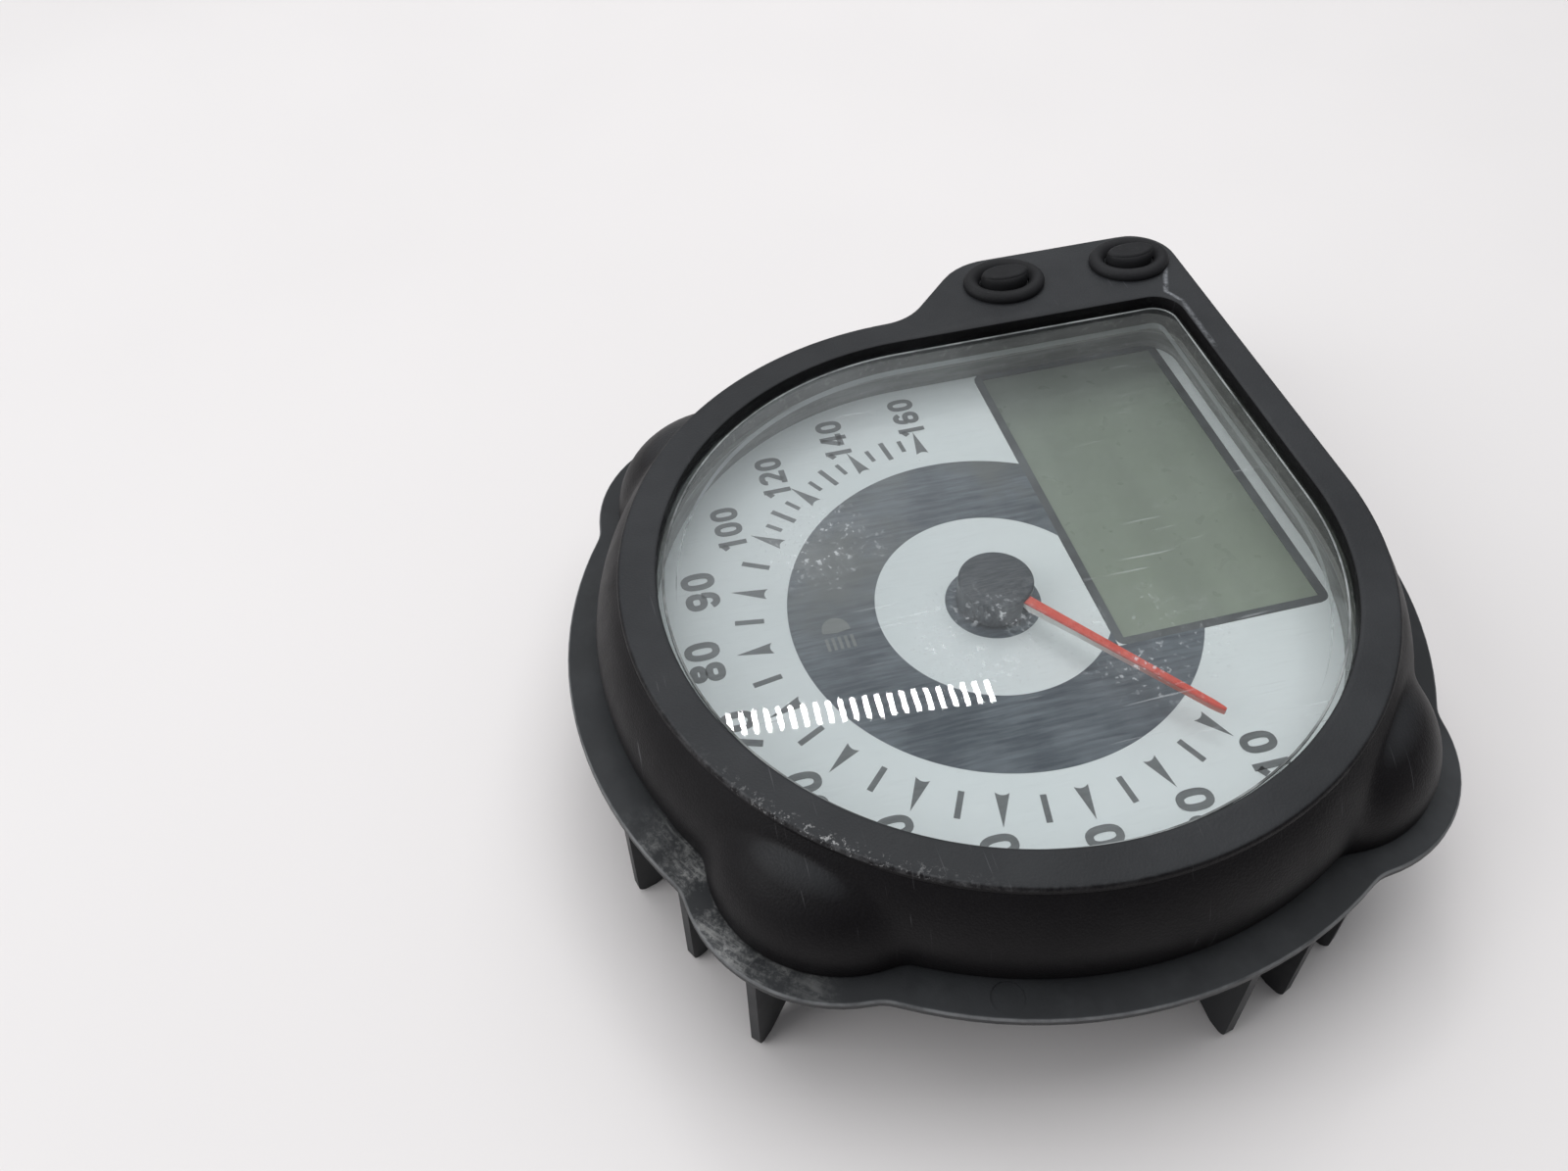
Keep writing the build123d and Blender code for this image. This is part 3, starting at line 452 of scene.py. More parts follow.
def satin_cap():
    """Dark satin cap with fine parallel rubbing marks and a grey bloom at its rim."""
    s = Shade("cap_plastic")
    rub = s.noise(420.0, 4.0, 0.7, at=s.stretch((9.0, 0.7, 1.0), (0, 0, 6)))
    tint = s.mix(s.remap(rub, 0.38, 0.62), (0.026, 0.032, 0.040), (0.086, 0.096, 0.110))
    mottled = s.remap(s.noise(500.0, 4.0, 0.7), 0.50, 0.66)
    bloom = s.math("MULTIPLY", mottled, s.remap(s.axis("X"), 0.001, -0.005))
    tint = s.mix(s.math("MULTIPLY", bloom, 0.35), tint, (0.30, 0.31, 0.32))
    return s.finish(tint, s.remap(rub, 0.3, 0.7, 0.32, 0.50), s.bump(rub, 0.010 * MM, 0.6))


def dial_white():
    s = Shade("dial_white")
    fine = s.noise(2600.0, 3.0, 0.6)
    tint = s.mix(s.remap(s.noise(40.0, 4.0), 0.3, 0.7), (0.835, 0.885, 0.89), (0.875, 0.915, 0.92))
    specks = s.math("MULTIPLY", s.remap(s.cells(260.0), 0.035, 0.02), s.remap(s.noise(90.0), 0.55, 0.6))
    tint = s.mix(s.math("MULTIPLY", specks, 0.5), tint, (0.35, 0.36, 0.36))
    return s.finish(tint, s.remap(fine, 0.3, 0.7, 0.5, 0.6), s.bump(fine, 0.004 * MM))


# Dried web of residue on the hub disc: place and reach, in metres.
HUB_WEB = ((-0.0062, -0.0015, 0.030), 0.0065)


def print_ink(name, colour, lighter, warm=None):
    s = Shade(name)
    streak = s.noise(230.0, 4.0, 0.65, at=s.stretch((4.5, 0.35, 1.0)))
    cloud = s.noise(70.0, 4.0, 0.6)
    both = s.math("ADD", s.math("MULTIPLY", streak, 0.55), s.math("MULTIPLY", cloud, 0.45))
    tint = s.mix(s.remap(both, 0.40, 0.60), colour, lighter)
    if warm:
        blot = s.remap(s.noise(55.0, 4.0, 0.6), 0.40, 0.60)
        blot = s.math("MULTIPLY", blot, s.remap(s.axis("X"), -0.004, 0.006))
        tint = s.mix(s.math("MULTIPLY", blot, 0.7), tint, warm)
        web = s.remap(s.cells(820.0, "DISTANCE_TO_EDGE"), 0.16, 0.06)
        spot = s.math("MULTIPLY", near(s, *HUB_WEB), s.remap(s.noise(260.0, 3.0), 0.42, 0.56))
        tint = s.mix(s.math("MULTIPLY", s.math("MULTIPLY", web, spot), 0.75), tint, (0.42, 0.47, 0.50))
    return s.finish(tint, s.remap(streak, 0.3, 0.7, 0.45, 0.6), s.bump(streak, 0.004 * MM))


INK_RING = print_ink("ink_ring", (0.052, 0.068, 0.088), (0.160, 0.186, 0.212), (0.150, 0.158, 0.148))
INK_MARK = print_ink("ink_mark", (0.130, 0.140, 0.145), (0.195, 0.205, 0.210))
INK_FAINT = print_ink("ink_faint", (0.200, 0.212, 0.205), (0.250, 0.262, 0.255))

CASE_BLACK = case_black()
REAR_BLACK = rear_black()
RUBBER = grained("boot_rubber", (0.0125, 0.0125, 0.0140), 0.66, 0.35, 0.05, 0.3, 0.25, (0.07, 0.07, 0.07),
                 Specular_IOR_Level=0.35)
SEAL = grained("seal_rubber", (0.015, 0.015, 0.016), 0.62, 0.3, 0.03, 0.3)
STEEL = grained("screw_steel", (0.45, 0.45, 0.46), 0.32, 0.15, 0.01, 0.25, Metallic=1.0)
BRASS = grained("insert_brass", (0.60, 0.43, 0.18), 0.34, 0.15, 0.01, 0.25, Metallic=1.0)
VENT = grained("vent_plastic", (0.05, 0.05, 0.055), 0.55, 0.3, 0.03)
SHROUD = shroud_grey()
SURROUND = grained("lcd_surround", (0.105, 0.115, 0.120), 0.42, 0.3, 0.02, 0.45)
CAP = satin_cap()
GUIDE = grained("guide_clear", (0.72, 0.76, 0.77), 0.25, 0.5, 0.01, 0.08)
DIFFUSER = grained("diffuser_white", (0.78, 0.79, 0.78), 0.5, 0.4, 0.01, 0.06)
ZEBRA = grained("zebra_rubber", (0.20, 0.20, 0.21), 0.6, 0.2, 0.02, 0.4)
BOARD = grained("board_green", (0.012, 0.085, 0.035), 0.4, 0.35, 0.02, 0.3)
CHIP = grained("chip_black", (0.02, 0.02, 0.022), 0.5, 0.2, 0.02, 0.2)
CAN = grained("can_aluminium", (0.62, 0.63, 0.65), 0.35, 0.2, 0.01, 0.15, Metallic=1.0)
CONNECTOR = grained("connector_plastic", (0.020, 0.020, 0.022), 0.5, 0.3, 0.03, 0.25)
MOTOR = grained("motor_plastic", (0.62, 0.60, 0.55), 0.45, 0.3, 0.02, 0.08)
CORE = grained("core_steel", (0.30, 0.30, 0.31), 0.4, 0.2, 0.02, 0.25, Metallic=1.0)
COPPER = grained("coil_copper", (0.50, 0.20, 0.08), 0.35, 0.12, 0.03, 0.3, Metallic=1.0)
MAGNET = grained("magnet_grey", (0.08, 0.08, 0.085), 0.45, 0.2, 0.02, 0.2)
GEAR = grained("gear_plastic", (0.70, 0.69, 0.64), 0.4, 0.3, 0.01, 0.08)
LENS = lens_clear()
LCD = lcd_panel()
DIAL = dial_white()

BY_SLOT = {
    "case_plastic": CASE_BLACK, "seal_rubber": SEAL, "screw_steel": STEEL, "insert_brass": BRASS,
    "vent_plastic": VENT, "lens_clear": LENS, "shroud_plastic": SHROUD, "dial_print": DIAL,
    "guide_clear": GUIDE, "lcd_surround": SURROUND, "lcd_panel": LCD, "diffuser_white": DIFFUSER,
    "zebra_rubber": ZEBRA, "board_green": BOARD, "chip_black": CHIP, "can_aluminium": CAN,
    "connector_plastic": CONNECTOR, "pin_brass": BRASS, "motor_plastic": MOTOR, "core_steel": CORE,
    "coil_copper": COPPER, "magnet_grey": MAGNET, "gear_plastic": GEAR, "cap_plastic": CAP,
    "boot_rubber": RUBBER,
}
SLOT_OF = {part["node"]: part["material_slot"] for part in frame["record"]["subparts"]}
for name, node in NODES.items():
    material = BY_SLOT.get(SLOT_OF.get(name), CASE_BLACK)
    if name == "rear_case":
        material = REAR_BLACK
    node.data.materials.clear()
    node.data.materials.append(material)


# ---------------------------------------------------------------- mesh helpers


def piece(name, mesh, material, body):
    made = bpy.data.objects.new(name, mesh)
    bpy.context.scene.collection.objects.link(made)
    mesh.materials.clear()
    mesh.materials.append(material)
    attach(made, body)
    return made


def prism(loops, bottom, top):
    """A mesh of flat shapes from closed outlines in mm. An outline inside another is a hole."""
    curve = bpy.data.curves.new("outline", "CURVE")
    curve.dimensions = "2D"
    curve.fill_mode = "BOTH"
    curve.extrude = (top - bottom) / 2 * MM
    for loop in loops:
        spline = curve.splines.new("POLY")
        spline.points.add(len(loop) - 1)
        for point, (x, y) in zip(spline.points, loop):
            point.co = (x * MM, y * MM, 0, 1)
        spline.use_cyclic_u = True
    holder = bpy.data.objects.new("outline", curve)
    mesh = bpy.data.meshes.new_from_object(holder)
    bpy.data.objects.remove(holder)
    bpy.data.curves.remove(curve)
    mesh.transform(Matrix.Translation((0, 0, (top + bottom) / 2 * MM)))
    return mesh


def arc(radius, start, end, steps, centre=(0.0, 0.0), squash=1.0, power=2.0):
    """Points in mm on an arc, or on a squarer superellipse if power is over 2."""
    points = []
    for a in np.radians(np.linspace(start, end, steps)):
        c, s = math.cos(a), math.sin(a)
        c = math.copysign(abs(c) ** (2 / power), c)
        s = math.copysign(abs(s) ** (2 / power), s)
        points.append((centre[0] + radius * c, centre[1] + radius * squash * s))
    return points


def turned(points, angle, at=(0.0, 0.0)):
    c, s = math.cos(math.radians(angle)), math.sin(math.radians(angle))
    return [(at[0] + x * c - y * s, at[1] + x * s + y * c) for x, y in points]


# ---------------------------------------------------------------- front case

BEZEL_R = 59.8
STRIP_CORNER = (66.5, -52.3, 7.5)
STRIP_SHOULDER = (62.0, -23.57, 12.0)
STRIP_THROAT = (71.8, 0.58, 12.0)
WINDOW_R = 54.4
WINDOW_CORNER_R = 5.1
CASE_TOP_Z = 42.75
EDGE_R = 0.7
BULGE = ((26.1, 4.9), (27.4, 5.15), (29.6, 5.4), (33.0, 5.1), (37.0, 3.7), (40.0, 2.0), (41.6, 0.8))
LOBES = (45, 135, 225)
LOBE_AT = 52.0
LOBE_R = 19.5
LOBE_DOME = (27.5, 7.0, 12.5)
LOBE_TOP_Z = 40
BLEND = 1.3
BUTTONS = ((66.0, -25.0), (66.0, -50.7))
BUTTON_HOLE_R = 6.3


def sampled(loop):
    """A closed outline resampled finely: polar angle, x, y and outward normal, sorted by angle."""
    pts = np.array(loop, float)
    pts = np.vstack([pts, pts[:1]])
    step = np.linalg.norm(np.diff(pts, axis=0), axis=1)
    far = np.concatenate([[0], np.cumsum(step)])
    at = np.linspace(0, far[-1], 12001)[:-1]
    xy = np.column_stack([np.interp(at, far, pts[:, k]) for k in (0, 1)])
    along = np.roll(xy, -8, 0) - np.roll(xy, 8, 0)
    normal = np.column_stack([along[:, 1], -along[:, 0]])
    normal /= np.linalg.norm(normal, axis=1)[:, None]
    angle = np.arctan2(xy[:, 1], xy[:, 0])
    order = np.argsort(angle)
    return angle[order], xy[order], normal[order]


def at_angles(curve, angles):
    """Points and normals of a sampled outline in these directions from the origin."""
    known, xy, normal = curve
    known = np.concatenate([known - 2 * math.pi, known, known + 2 * math.pi])
    spread = [np.interp(angles, known, np.tile(v, 3)) for v in (*xy.T, *normal.T)]
    out = np.array(spread[2:]).T
    return np.array(spread[:2]).T, out / np.linalg.norm(out, axis=1)[:, None]


def case_curve():
    throat, shoulder, corner = STRIP_THROAT, STRIP_SHOULDER, STRIP_CORNER
    blend_angle = math.degrees(math.atan2(throat[1], throat[0]))
    loop = arc(BEZEL_R, blend_angle, 270, 500)
    loop += arc(corner[2], 270, 360, 60, corner[:2])
    loop += arc(shoulder[2], 0, 45, 40, shoulder[:2])
    loop += arc(throat[2], 225, 180 + blend_angle, 40, throat[:2])
    return sampled(loop)


def window_curve():
    r, c = WINDOW_R, WINDOW_CORNER_R
    loop = arc(r, 0, 270, 500)
    loop += arc(c, 270, 360, 40, (r - c, c - r))
    return sampled(loop)


CASE_CURVE = case_curve()
WINDOW_CURVE = window_curve()


def smooth_max(a, b, k):
    gap = np.clip(0.5 + (a - b) / (2 * k), 0, 1)
    return b + (a - b) * gap + k * gap * (1 - gap)


def bulge_at(z):
    """Smooth curve through the BULGE table."""
    zs = np.array([p[0] for p in BULGE])
    ds = np.array([p[1] for p in BULGE])
    slopes = np.gradient(ds, zs)
    i = int(np.clip(np.searchsorted(zs, z) - 1, 0, len(zs) - 2))
    h = zs[i + 1] - zs[i]
    t = (z - zs[i]) / h
    return ((2 * t ** 3 - 3 * t ** 2 + 1) * ds[i] + (t ** 3 - 2 * t ** 2 + t) * h * slopes[i]
            + (3 * t ** 2 - 2 * t ** 3) * ds[i + 1] + (t ** 3 - t ** 2) * h * slopes[i + 1])


def with_lobes(base, xy, normal, radius, k):
    """Offsets along the normals, pushed out smoothly to clear a round lobe at each lobe angle."""
    reach = np.full(len(xy), base, float)
    for a in np.radians(LOBES):
        off = xy - LOBE_AT * np.array([math.cos(a), math.sin(a)])
        along = (off * normal).sum(1)
        inside = radius ** 2 - (off ** 2).sum(1) + along ** 2
        hit = np.where(inside > 0, -along + np.sqrt(np.maximum(inside, 0)), -99.0)
        reach = smooth_max(reach, hit, k)
    return reach


def torus(columns, rows, name):
    """Closed grid mesh: rows of points, each a ring of the same count, joined first to last both ways."""
    grid = np.array(rows)
    count, width = len(rows), columns
    faces = []
    for r in range(count):
        r2 = (r + 1) % count
        for c in range(width):
            c2 = (c + 1) % width
            faces.append((r * width + c, r * width + c2, r2 * width + c2, r2 * width + c))
    mesh = bpy.data.meshes.new(name)
    mesh.from_pydata((grid.reshape(-1, 3) * MM).tolist(), [], faces)
    return mesh


def lathe(profile, centre, steps=48):
    """Rings for a round solid about a vertical axis, from (radius, z) pairs."""
    made = []
    for radius, z in profile:
        made.append([(centre[0] + radius * math.cos(2 * math.pi * i / steps),
                      centre[1] + radius * math.sin(2 * math.pi * i / steps), z) for i in range(steps)])
    return made


def lathe_mesh(name, profile, centre, steps=48):
    mesh = bpy.data.meshes.new(name)
    shape = bmesh.new()
    rings = [[shape.verts.new([v * MM for v in p]) for p in ring] for ring in lathe(profile, centre, steps)]
    for a, b in zip(rings, rings[1:]):
        for i in range(steps):
            shape.faces.new((a[i], a[(i + 1) % steps], b[(i + 1) % steps], b[i]))
    shape.faces.new(list(reversed(rings[0])))
    shape.faces.new(rings[-1])
    bmesh.ops.recalc_face_normals(shape, faces=shape.faces)
    shape.to_mesh(mesh)
    shape.free()
    return mesh


def cut(mesh, cutters):
    """The mesh with these closed meshes taken out of it."""
    target = bpy.data.objects.new("target", mesh)
    bpy.context.scene.collection.objects.link(target)
    tools = []
    for tool_mesh in cutters:
        tool = bpy.data.objects.new("tool", tool_mesh)
        bpy.context.scene.collection.objects.link(tool)
        tools.append(tool)
        step = target.modifiers.new("cut", "BOOLEAN")
        step.operation = "DIFFERENCE"
        step.solver = "EXACT"
        step.object = tool
    made = bpy.data.meshes.new_from_object(target.evaluated_get(bpy.context.evaluated_depsgraph_get()))
    for tool in tools + [target]:
        bpy.data.objects.remove(tool)
    return made


def smooth(mesh, sharp=35):
    for polygon in mesh.polygons:
        polygon.use_smooth = True
    mesh.set_sharp_from_angle(angle=math.radians(sharp))
    return mesh


def front_case_mesh():
    angles = np.linspace(-math.pi, math.pi, 361)[:-1]
    corners = (np.linspace(-50, -36, 29), np.linspace(-22, 4, 27), np.linspace(-44, -40, 9))
    extra = np.radians(np.concatenate(corners))
    angles = np.unique(np.round(np.concatenate([angles, extra]), 5))
    outer, outward = at_angles(CASE_CURVE, angles)
    inner, inward = at_angles(WINDOW_CURVE, angles)
    degrees = np.degrees(angles)
    rows = []

    def ring(points, z):
        height = np.full(len(angles), z, float) if np.isscalar(z) else z
        rows.append(np.column_stack([points, height]))

    def case_ring(offset, z):
        offset = np.asarray(offset)
        ring(outer + outward * (offset[:, None] if offset.ndim else offset), z)

    for offset, z in ((0, 40.3), (0, 41.4), (0, 42.42), (0.1, 42.64), (0.33, CASE_TOP_Z)):
        ring(inner + inward * offset, z)
    start, end = inner + inward * 0.33, outer + outward * (0.8 - EDGE_R)
    for t in (0.12, 0.3, 0.5, 0.7, 0.88, 1.0):
        ring(start + (end - start) * t, CASE_TOP_Z)
    for t in np.radians((18, 36, 54, 72, 90)):
        case_ring(0.8 - EDGE_R + EDGE_R * math.sin(t), CASE_TOP_Z - EDGE_R + EDGE_R * math.cos(t))
    lift = np.exp(-((degrees - 108.3) / 3.6) ** 4)
    bottom = 26.06 + 1.2 * lift
    for z in np.concatenate([[41.6], np.arange(41.2, 37.0, -0.25), np.arange(37.0, 27.7, -0.45)]):
        drop, flat, dome = LOBE_DOME
        if z <= drop:
            lobe = LOBE_R
        elif z < LOBE_TOP_Z:
            lobe = flat + math.sqrt(max(0.0, dome ** 2 - (z - drop) ** 2))
        else:
            lobe = 0.1
        case_ring(with_lobes(bulge_at(z), outer, outward, lobe, BLEND), z)
    for t in (0.35, 0.7, 0.9):
        z = 27.7 + (bottom + 0.25 - 27.7) * t
        case_ring(with_lobes(bulge_at(27.7 - 1.2 * t), outer, outward, LOBE_R, BLEND) - 1.2 * t * lift, z)
    low = with_lobes(bulge_at(26.5), outer, outward, LOBE_R, BLEND) - 1.35 * lift
    case_ring(low - 0.08, bottom + 0.08)
    case_ring(low - 0.3, bottom)
    wall = with_lobes(3.0, outer, outward, LOBE_R - 2.2, BLEND)
    wall = np.minimum(wall, low - 1.0)
    case_ring(wall, bottom)
    case_ring(wall, 33.0)
    for offset, z in ((-0.2, 33.0), (-0.2, 27.0), (-2.2, 27.0), (-2.2, 36.0), (-0.4, 36.0), (-0.4, 40.3)):
        case_ring(offset, z)
    rows.reverse()
    mesh = torus(len(angles), rows, "front_case_skin")
    hole = ((BUTTON_HOLE_R, 39.3), (BUTTON_HOLE_R, 44.0))
    mesh = cut(mesh, [lathe_mesh("hole", hole, place, 64) for place in BUTTONS])
    smooth(mesh, 32)
    spots = np.zeros(len(mesh.vertices) * 3)
    mesh.vertices.foreach_get("co", spots)
    spots = spots.reshape(-1, 3) / MM
    away = np.degrees(np.arctan2(spots[:, 1], spots[:, 0]))
    rim = (spots[:, 2] > 42.2) & (np.hypot(spots[:, 0], spots[:, 1]) > 59.0)
    outline = at_angles(CASE_CURVE, np.radians(away))[0]
    outside = np.hypot(spots[:, 0], spots[:, 1]) > np.hypot(outline[:, 0], outline[:, 1]) - 1.0
    worn_side = 0.08 + 0.92 * np.exp(-((away - 135) / 28) ** 2)
    edge = outside * (spots[:, 2] > 42.2) * (spots[:, 2] < 42.74) * worn_side
    chips = rim * np.exp(-((away - 137) / 12) ** 2)
    for name, values in (("edge_wear", edge), ("chips", chips)):
        mesh.attributes.new(name, "FLOAT", "POINT").data.foreach_set("value", values.astype(np.float32))
    return mesh


shell = piece("front_case_skin", front_case_mesh(), CASE_BLACK, "case")
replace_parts(shell, "front_case")

# A pale ribbon just inside the opening: a painted highlight for the light caught on the lens's edge.
GLINT = ((-0.75, 40.52), (-0.80, 40.74), (-1.05, 40.76), (-1.12, 40.70), (-1.05, 40.52))


def rim_glint():
    s = Shade("lens_edge_glint")
    patchy = s.noise(70.0, 4.0, 0.65)
    tint = s.mix(s.remap(patchy, 0.35, 0.65), (0.075, 0.080, 0.080), (0.34, 0.36, 0.36))
    return s.finish(tint, s.remap(patchy, 0.3, 0.7, 0.15, 0.35), s.bump(s.noise(1800.0), 0.01 * MM))


glint_spans = (np.arange(-180, -50, 1.0), np.arange(-50, -35, 0.4), np.arange(-35, 180, 1.0))
glint_angles = np.radians(np.concatenate(glint_spans))
glint_at, glint_out = at_angles(WINDOW_CURVE, glint_angles)
glint_rows = [np.column_stack([glint_at + glint_out * off, np.full(len(glint_at), z)]) for off, z in GLINT]
glint = smooth(torus(len(glint_at), list(reversed(glint_rows)), "lens_edge_glint"), 50)
piece("lens_edge_glint", glint, rim_glint(), "case")

# Posts the case screws bite into, with their pilot holes.
POST_HOLE_R = 1.9
SCREW_SPOTS = [(turned([(63.6, 0.0)], a)[0], 3.7, 36.3) for a in (45, 141, 225)] + [((67.8, -37.9), 3.4, 40.3)]
for i, (place, radius, top) in enumerate(SCREW_SPOTS):
    post = ((radius, 26.2), (radius, top - 3.0), (radius - 1.2, top), (POST_HOLE_R, top), (POST_HOLE_R, 26.2))
    rows = list(reversed(lathe(post, place, 40)))
    piece(f"screw_post_{i}", smooth(torus(40, rows, f"screw_post_{i}")), CASE_BLACK, "case")

# ---------------------------------------------------------------- buttons

# Oval rings as (half width along X, half width along Y, z).
COLLAR = ((6.2, 6.2, 40.4), (6.25, 6.25, 42.76), (6.45, 7.8, 42.79), (6.55, 7.9, 43.15), (6.5, 7.86, 43.6),
          (6.2, 7.6, 44.05), (5.75, 7.2, 44.36), (5.2, 6.75, 44.48), (4.7, 6.25, 44.42), (4.25, 5.8, 44.2),
          (3.9, 5.4, 43.85), (3.6, 5.1, 43.45), (3.45, 4.95, 43.2), (3.5, 5.0, 43.1), (5.0, 5.1, 43.1),
          (5.1, 5.1, 40.4))
# A soft skirt around the raised bar of each key.
SKIRT = ((3.1, 4.65, 41.5), (3.1, 4.65, 43.6), (3.02, 4.62, 44.2), (2.88, 4.56, 44.7), (2.65, 4.5, 45.05),
         (2.35, 4.4, 45.32), (2.1, 4.2, 45.4), (1.9, 4.0, 45.0), (1.9, 4.0, 41.5))


def oval_rings(rings, centre, steps=72):
    made = []
    for rx, ry, z in rings:
        made.append([(centre[0] + x * rx, centre[1] + y * ry, z) for x, y in arc(1.0, 0, 355, steps)])
    return made


def oval_piece(name, rings, centre, body):
    mesh = torus(72, list(reversed(oval_rings(rings, centre))), name)
    return piece(name, smooth(mesh, 50), RUBBER, body)


for side, place in zip(("upper", "lower"), BUTTONS):
    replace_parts(oval_piece(f"{side}_button_collar", COLLAR, place, "case"), f"{side}_button_boot")
    oval_piece(f"{side}_button_skirt", SKIRT, place, f"{side}_button")

# ---------------------------------------------------------------- dial print

window_low, window_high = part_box("lcd_frame")
WINDOW_LEFT = window_low.x / MM
WINDOW_TOP = window_high.y / MM


def cut_ring():
    """The dark ring, cut square where the LCD window takes its corner."""
    inner, outer = RING_R
    top_outer = math.degrees(math.asin(WINDOW_TOP / outer))
    left_outer = 180 + math.degrees(math.acos(-WINDOW_LEFT / outer))
    top_inner = math.degrees(math.asin(WINDOW_TOP / inner))
    left_inner = 180 - top_inner
    loop = arc(outer, top_outer, left_outer, 160)
    loop += [(WINDOW_LEFT, WINDOW_TOP)]
    loop += arc(inner, left_inner, top_inner, 140)
    return loop


PRINT_Z = (DIAL_Z, DIAL_Z + PRINT_T)
piece("dial_ring", prism([cut_ring()], *PRINT_Z), INK_RING, "case")
piece("dial_hub_disc", prism([arc(HUB_DISC_R, 0, 357, 120)], *PRINT_Z), INK_RING, "case")

# The window's corners are rounded by the dial's print.
WINDOW_X = (window_low.x / MM, window_high.x / MM)
WINDOW_Y = (window_low.y / MM, window_high.y / MM)
CORNER_R = 1.7
corners = []
for x, y, turn_by in ((WINDOW_X[0], WINDOW_Y[1], 90), (WINDOW_X[1], WINDOW_Y[1], 0),
                      (WINDOW_X[0], WINDOW_Y[0], 180), (WINDOW_X[1], WINDOW_Y[0], 270)):
    wedge = [(0.3, 0.3), (-CORNER_R, 0.3), (-CORNER_R, 0.0)] + arc(CORNER_R, 90, 0, 12, (-CORNER_R, -CORNER_R))
    corners.append(turned(wedge + [(0.3, -CORNER_R)], turn_by, (x, y)))
piece("window_corners", prism(corners, DIAL_Z, DIAL_Z + 0.02), DIAL, "case")

MARK_R = (37.4, 43.4)
MARK_BASE = 2.2
MARK_NOTCH = 0.45
BAR_R = (37.9, 42.7)
BAR_W = 0.95
SHORT_BAR_R = (38.9, 41.9)
SHORT_BAR_W = 0.8


def major_mark(angle):
    base = [(MARK_R[0], MARK_BASE / 2)]
    for t in (0.75, 0.5, 0.25, 0.0, -0.25, -0.5, -0.75):
        base.append((MARK_R[0] + MARK_NOTCH * (1 - t * t), t * MARK_BASE / 2))
    base += [(MARK_R[0], -MARK_BASE / 2), (MARK_R[1], 0.0)]
    return turned(base, angle)


def bar(angle, reach, width):
    (near_end, far_end), half = reach, width / 2
    return turned([(near_end, -half), (far_end, -half), (far_end, half), (near_end, half)], angle)


speeds = list(range(10, 101, 10)) + [120, 140, 160]
mark_angles = {v: 216.0 - 18.0 * i for i, v in enumerate(speeds)}
marks = [major_mark(a) for a in mark_angles.values()]
marks += [bar(216.0 - 18.0 * i - 9.0, BAR_R, BAR_W) for i in range(9)]
for start in (54.0, 36.0, 18.0):
    marks += [bar(start - 4.5, SHORT_BAR_R, SHORT_BAR_W), bar(start - 9.0, BAR_R, BAR_W),
              bar(start - 13.5, SHORT_BAR_R, SHORT_BAR_W)]
piece("dial_marks", prism(marks, *PRINT_Z), INK_MARK, "case")

GLYPH_W = 0.66
GLYPH_STROKE = 0.215


def ribbon(path, width, closed=False):
    """Quads that follow a path with a constant width."""
    points = [Vector(p) for p in path]
    count = len(points)
    sides = []
    for i, p in enumerate(points):
        before = points[i - 1] if (i or closed) else points[i]
        after = points[(i + 1) % count] if (i < count - 1 or closed) else points[i]
        along = (after - before).normalized()
        across = Vector((-along.y, along.x)) * width / 2
        sides.append((p + across, p - across))
    quads = []
    for i in range(count if closed else count - 1):
        (a, b), (c, d) = sides[i], sides[(i + 1) % count]
        quads.append([a, b, d, c])
    return quads


def bowl(cx, cy, rx, ry, start, end, steps=20, power=2.5):
    return arc(rx, start, end, steps, (cx, cy), ry / rx, power)


def glyph_strokes(digit):
    """Centre lines of one digit, in a box GLYPH_W wide and 1 high, and whether each is closed."""
    w, h = GLYPH_W, GLYPH_STROKE / 2
    mid = w / 2
    if digit == "0":
        return [(bowl(mid, 0.5, mid - h, 0.5 - h, 0, 345, 24), True)]
    if digit == "1":
        return [([(mid + 0.06, 0.0), (mid + 0.06, 1.0)], False),
                ([(mid + 0.02, 0.86), (mid - 0.2, 0.72)], False)]
    if digit == "2":
        top = bowl(mid, 0.70, mid - h, 0.30 - h, 175, -35, 18)
        return [(top + [(h + 0.09, 0.16)], False), ([(0.0, h), (w, h)], False)]
    if digit == "3":
        return [(bowl(mid - 0.01, 0.745, mid - h - 0.02, 0.255 - h, 165, -85, 16), False),
                (bowl(mid, 0.28, mid - h, 0.28 - h, 85, -165, 16), False)]
    if digit == "4":
        return [([(w * 0.66, 0.0), (w * 0.66, 1.0)], False), ([(w * 0.60, 0.96), (0.08, 0.30)], False),
                ([(0.0, 0.27), (w, 0.27)], False)]
    if digit == "5":
        return [([(0.07, 1 - h), (w - 0.04, 1 - h)], False), ([(h + 0.04, 1.0), (h + 0.02, 0.46)], False),
                (bowl(mid, 0.325, mid - h, 0.325 - h, 140, -165, 18), False)]
    if digit == "6":
        return [(bowl(mid, 0.315, mid - h, 0.315 - h, 0, 345, 20), True),
                (bowl(mid, 0.5, mid - h, 0.5 - h, 180, 30, 16), False)]
    if digit == "7":
        return [([(0.0, 1 - h), (w, 1 - h)], False), ([(w - h, 0.93), (w * 0.36, 0.0)], False)]
    if digit == "8":
        return [(bowl(mid, 0.28, mid - h, 0.28 - h, 0, 345, 20), True),
                (bowl(mid, 0.755, mid - h - 0.025, 0.245 - h, 0, 345, 20), True)]
    return [(bowl(mid, 0.685, mid - h, 0.315 - h, 0, 345, 20), True),
            (bowl(mid, 0.5, mid - h, 0.5 - h, 0, -150, 16), False)]


NUMERAL_2 = (48.6, 5.8, 4.5)
NUMERAL_3 = (47.6, 4.9, 3.75)


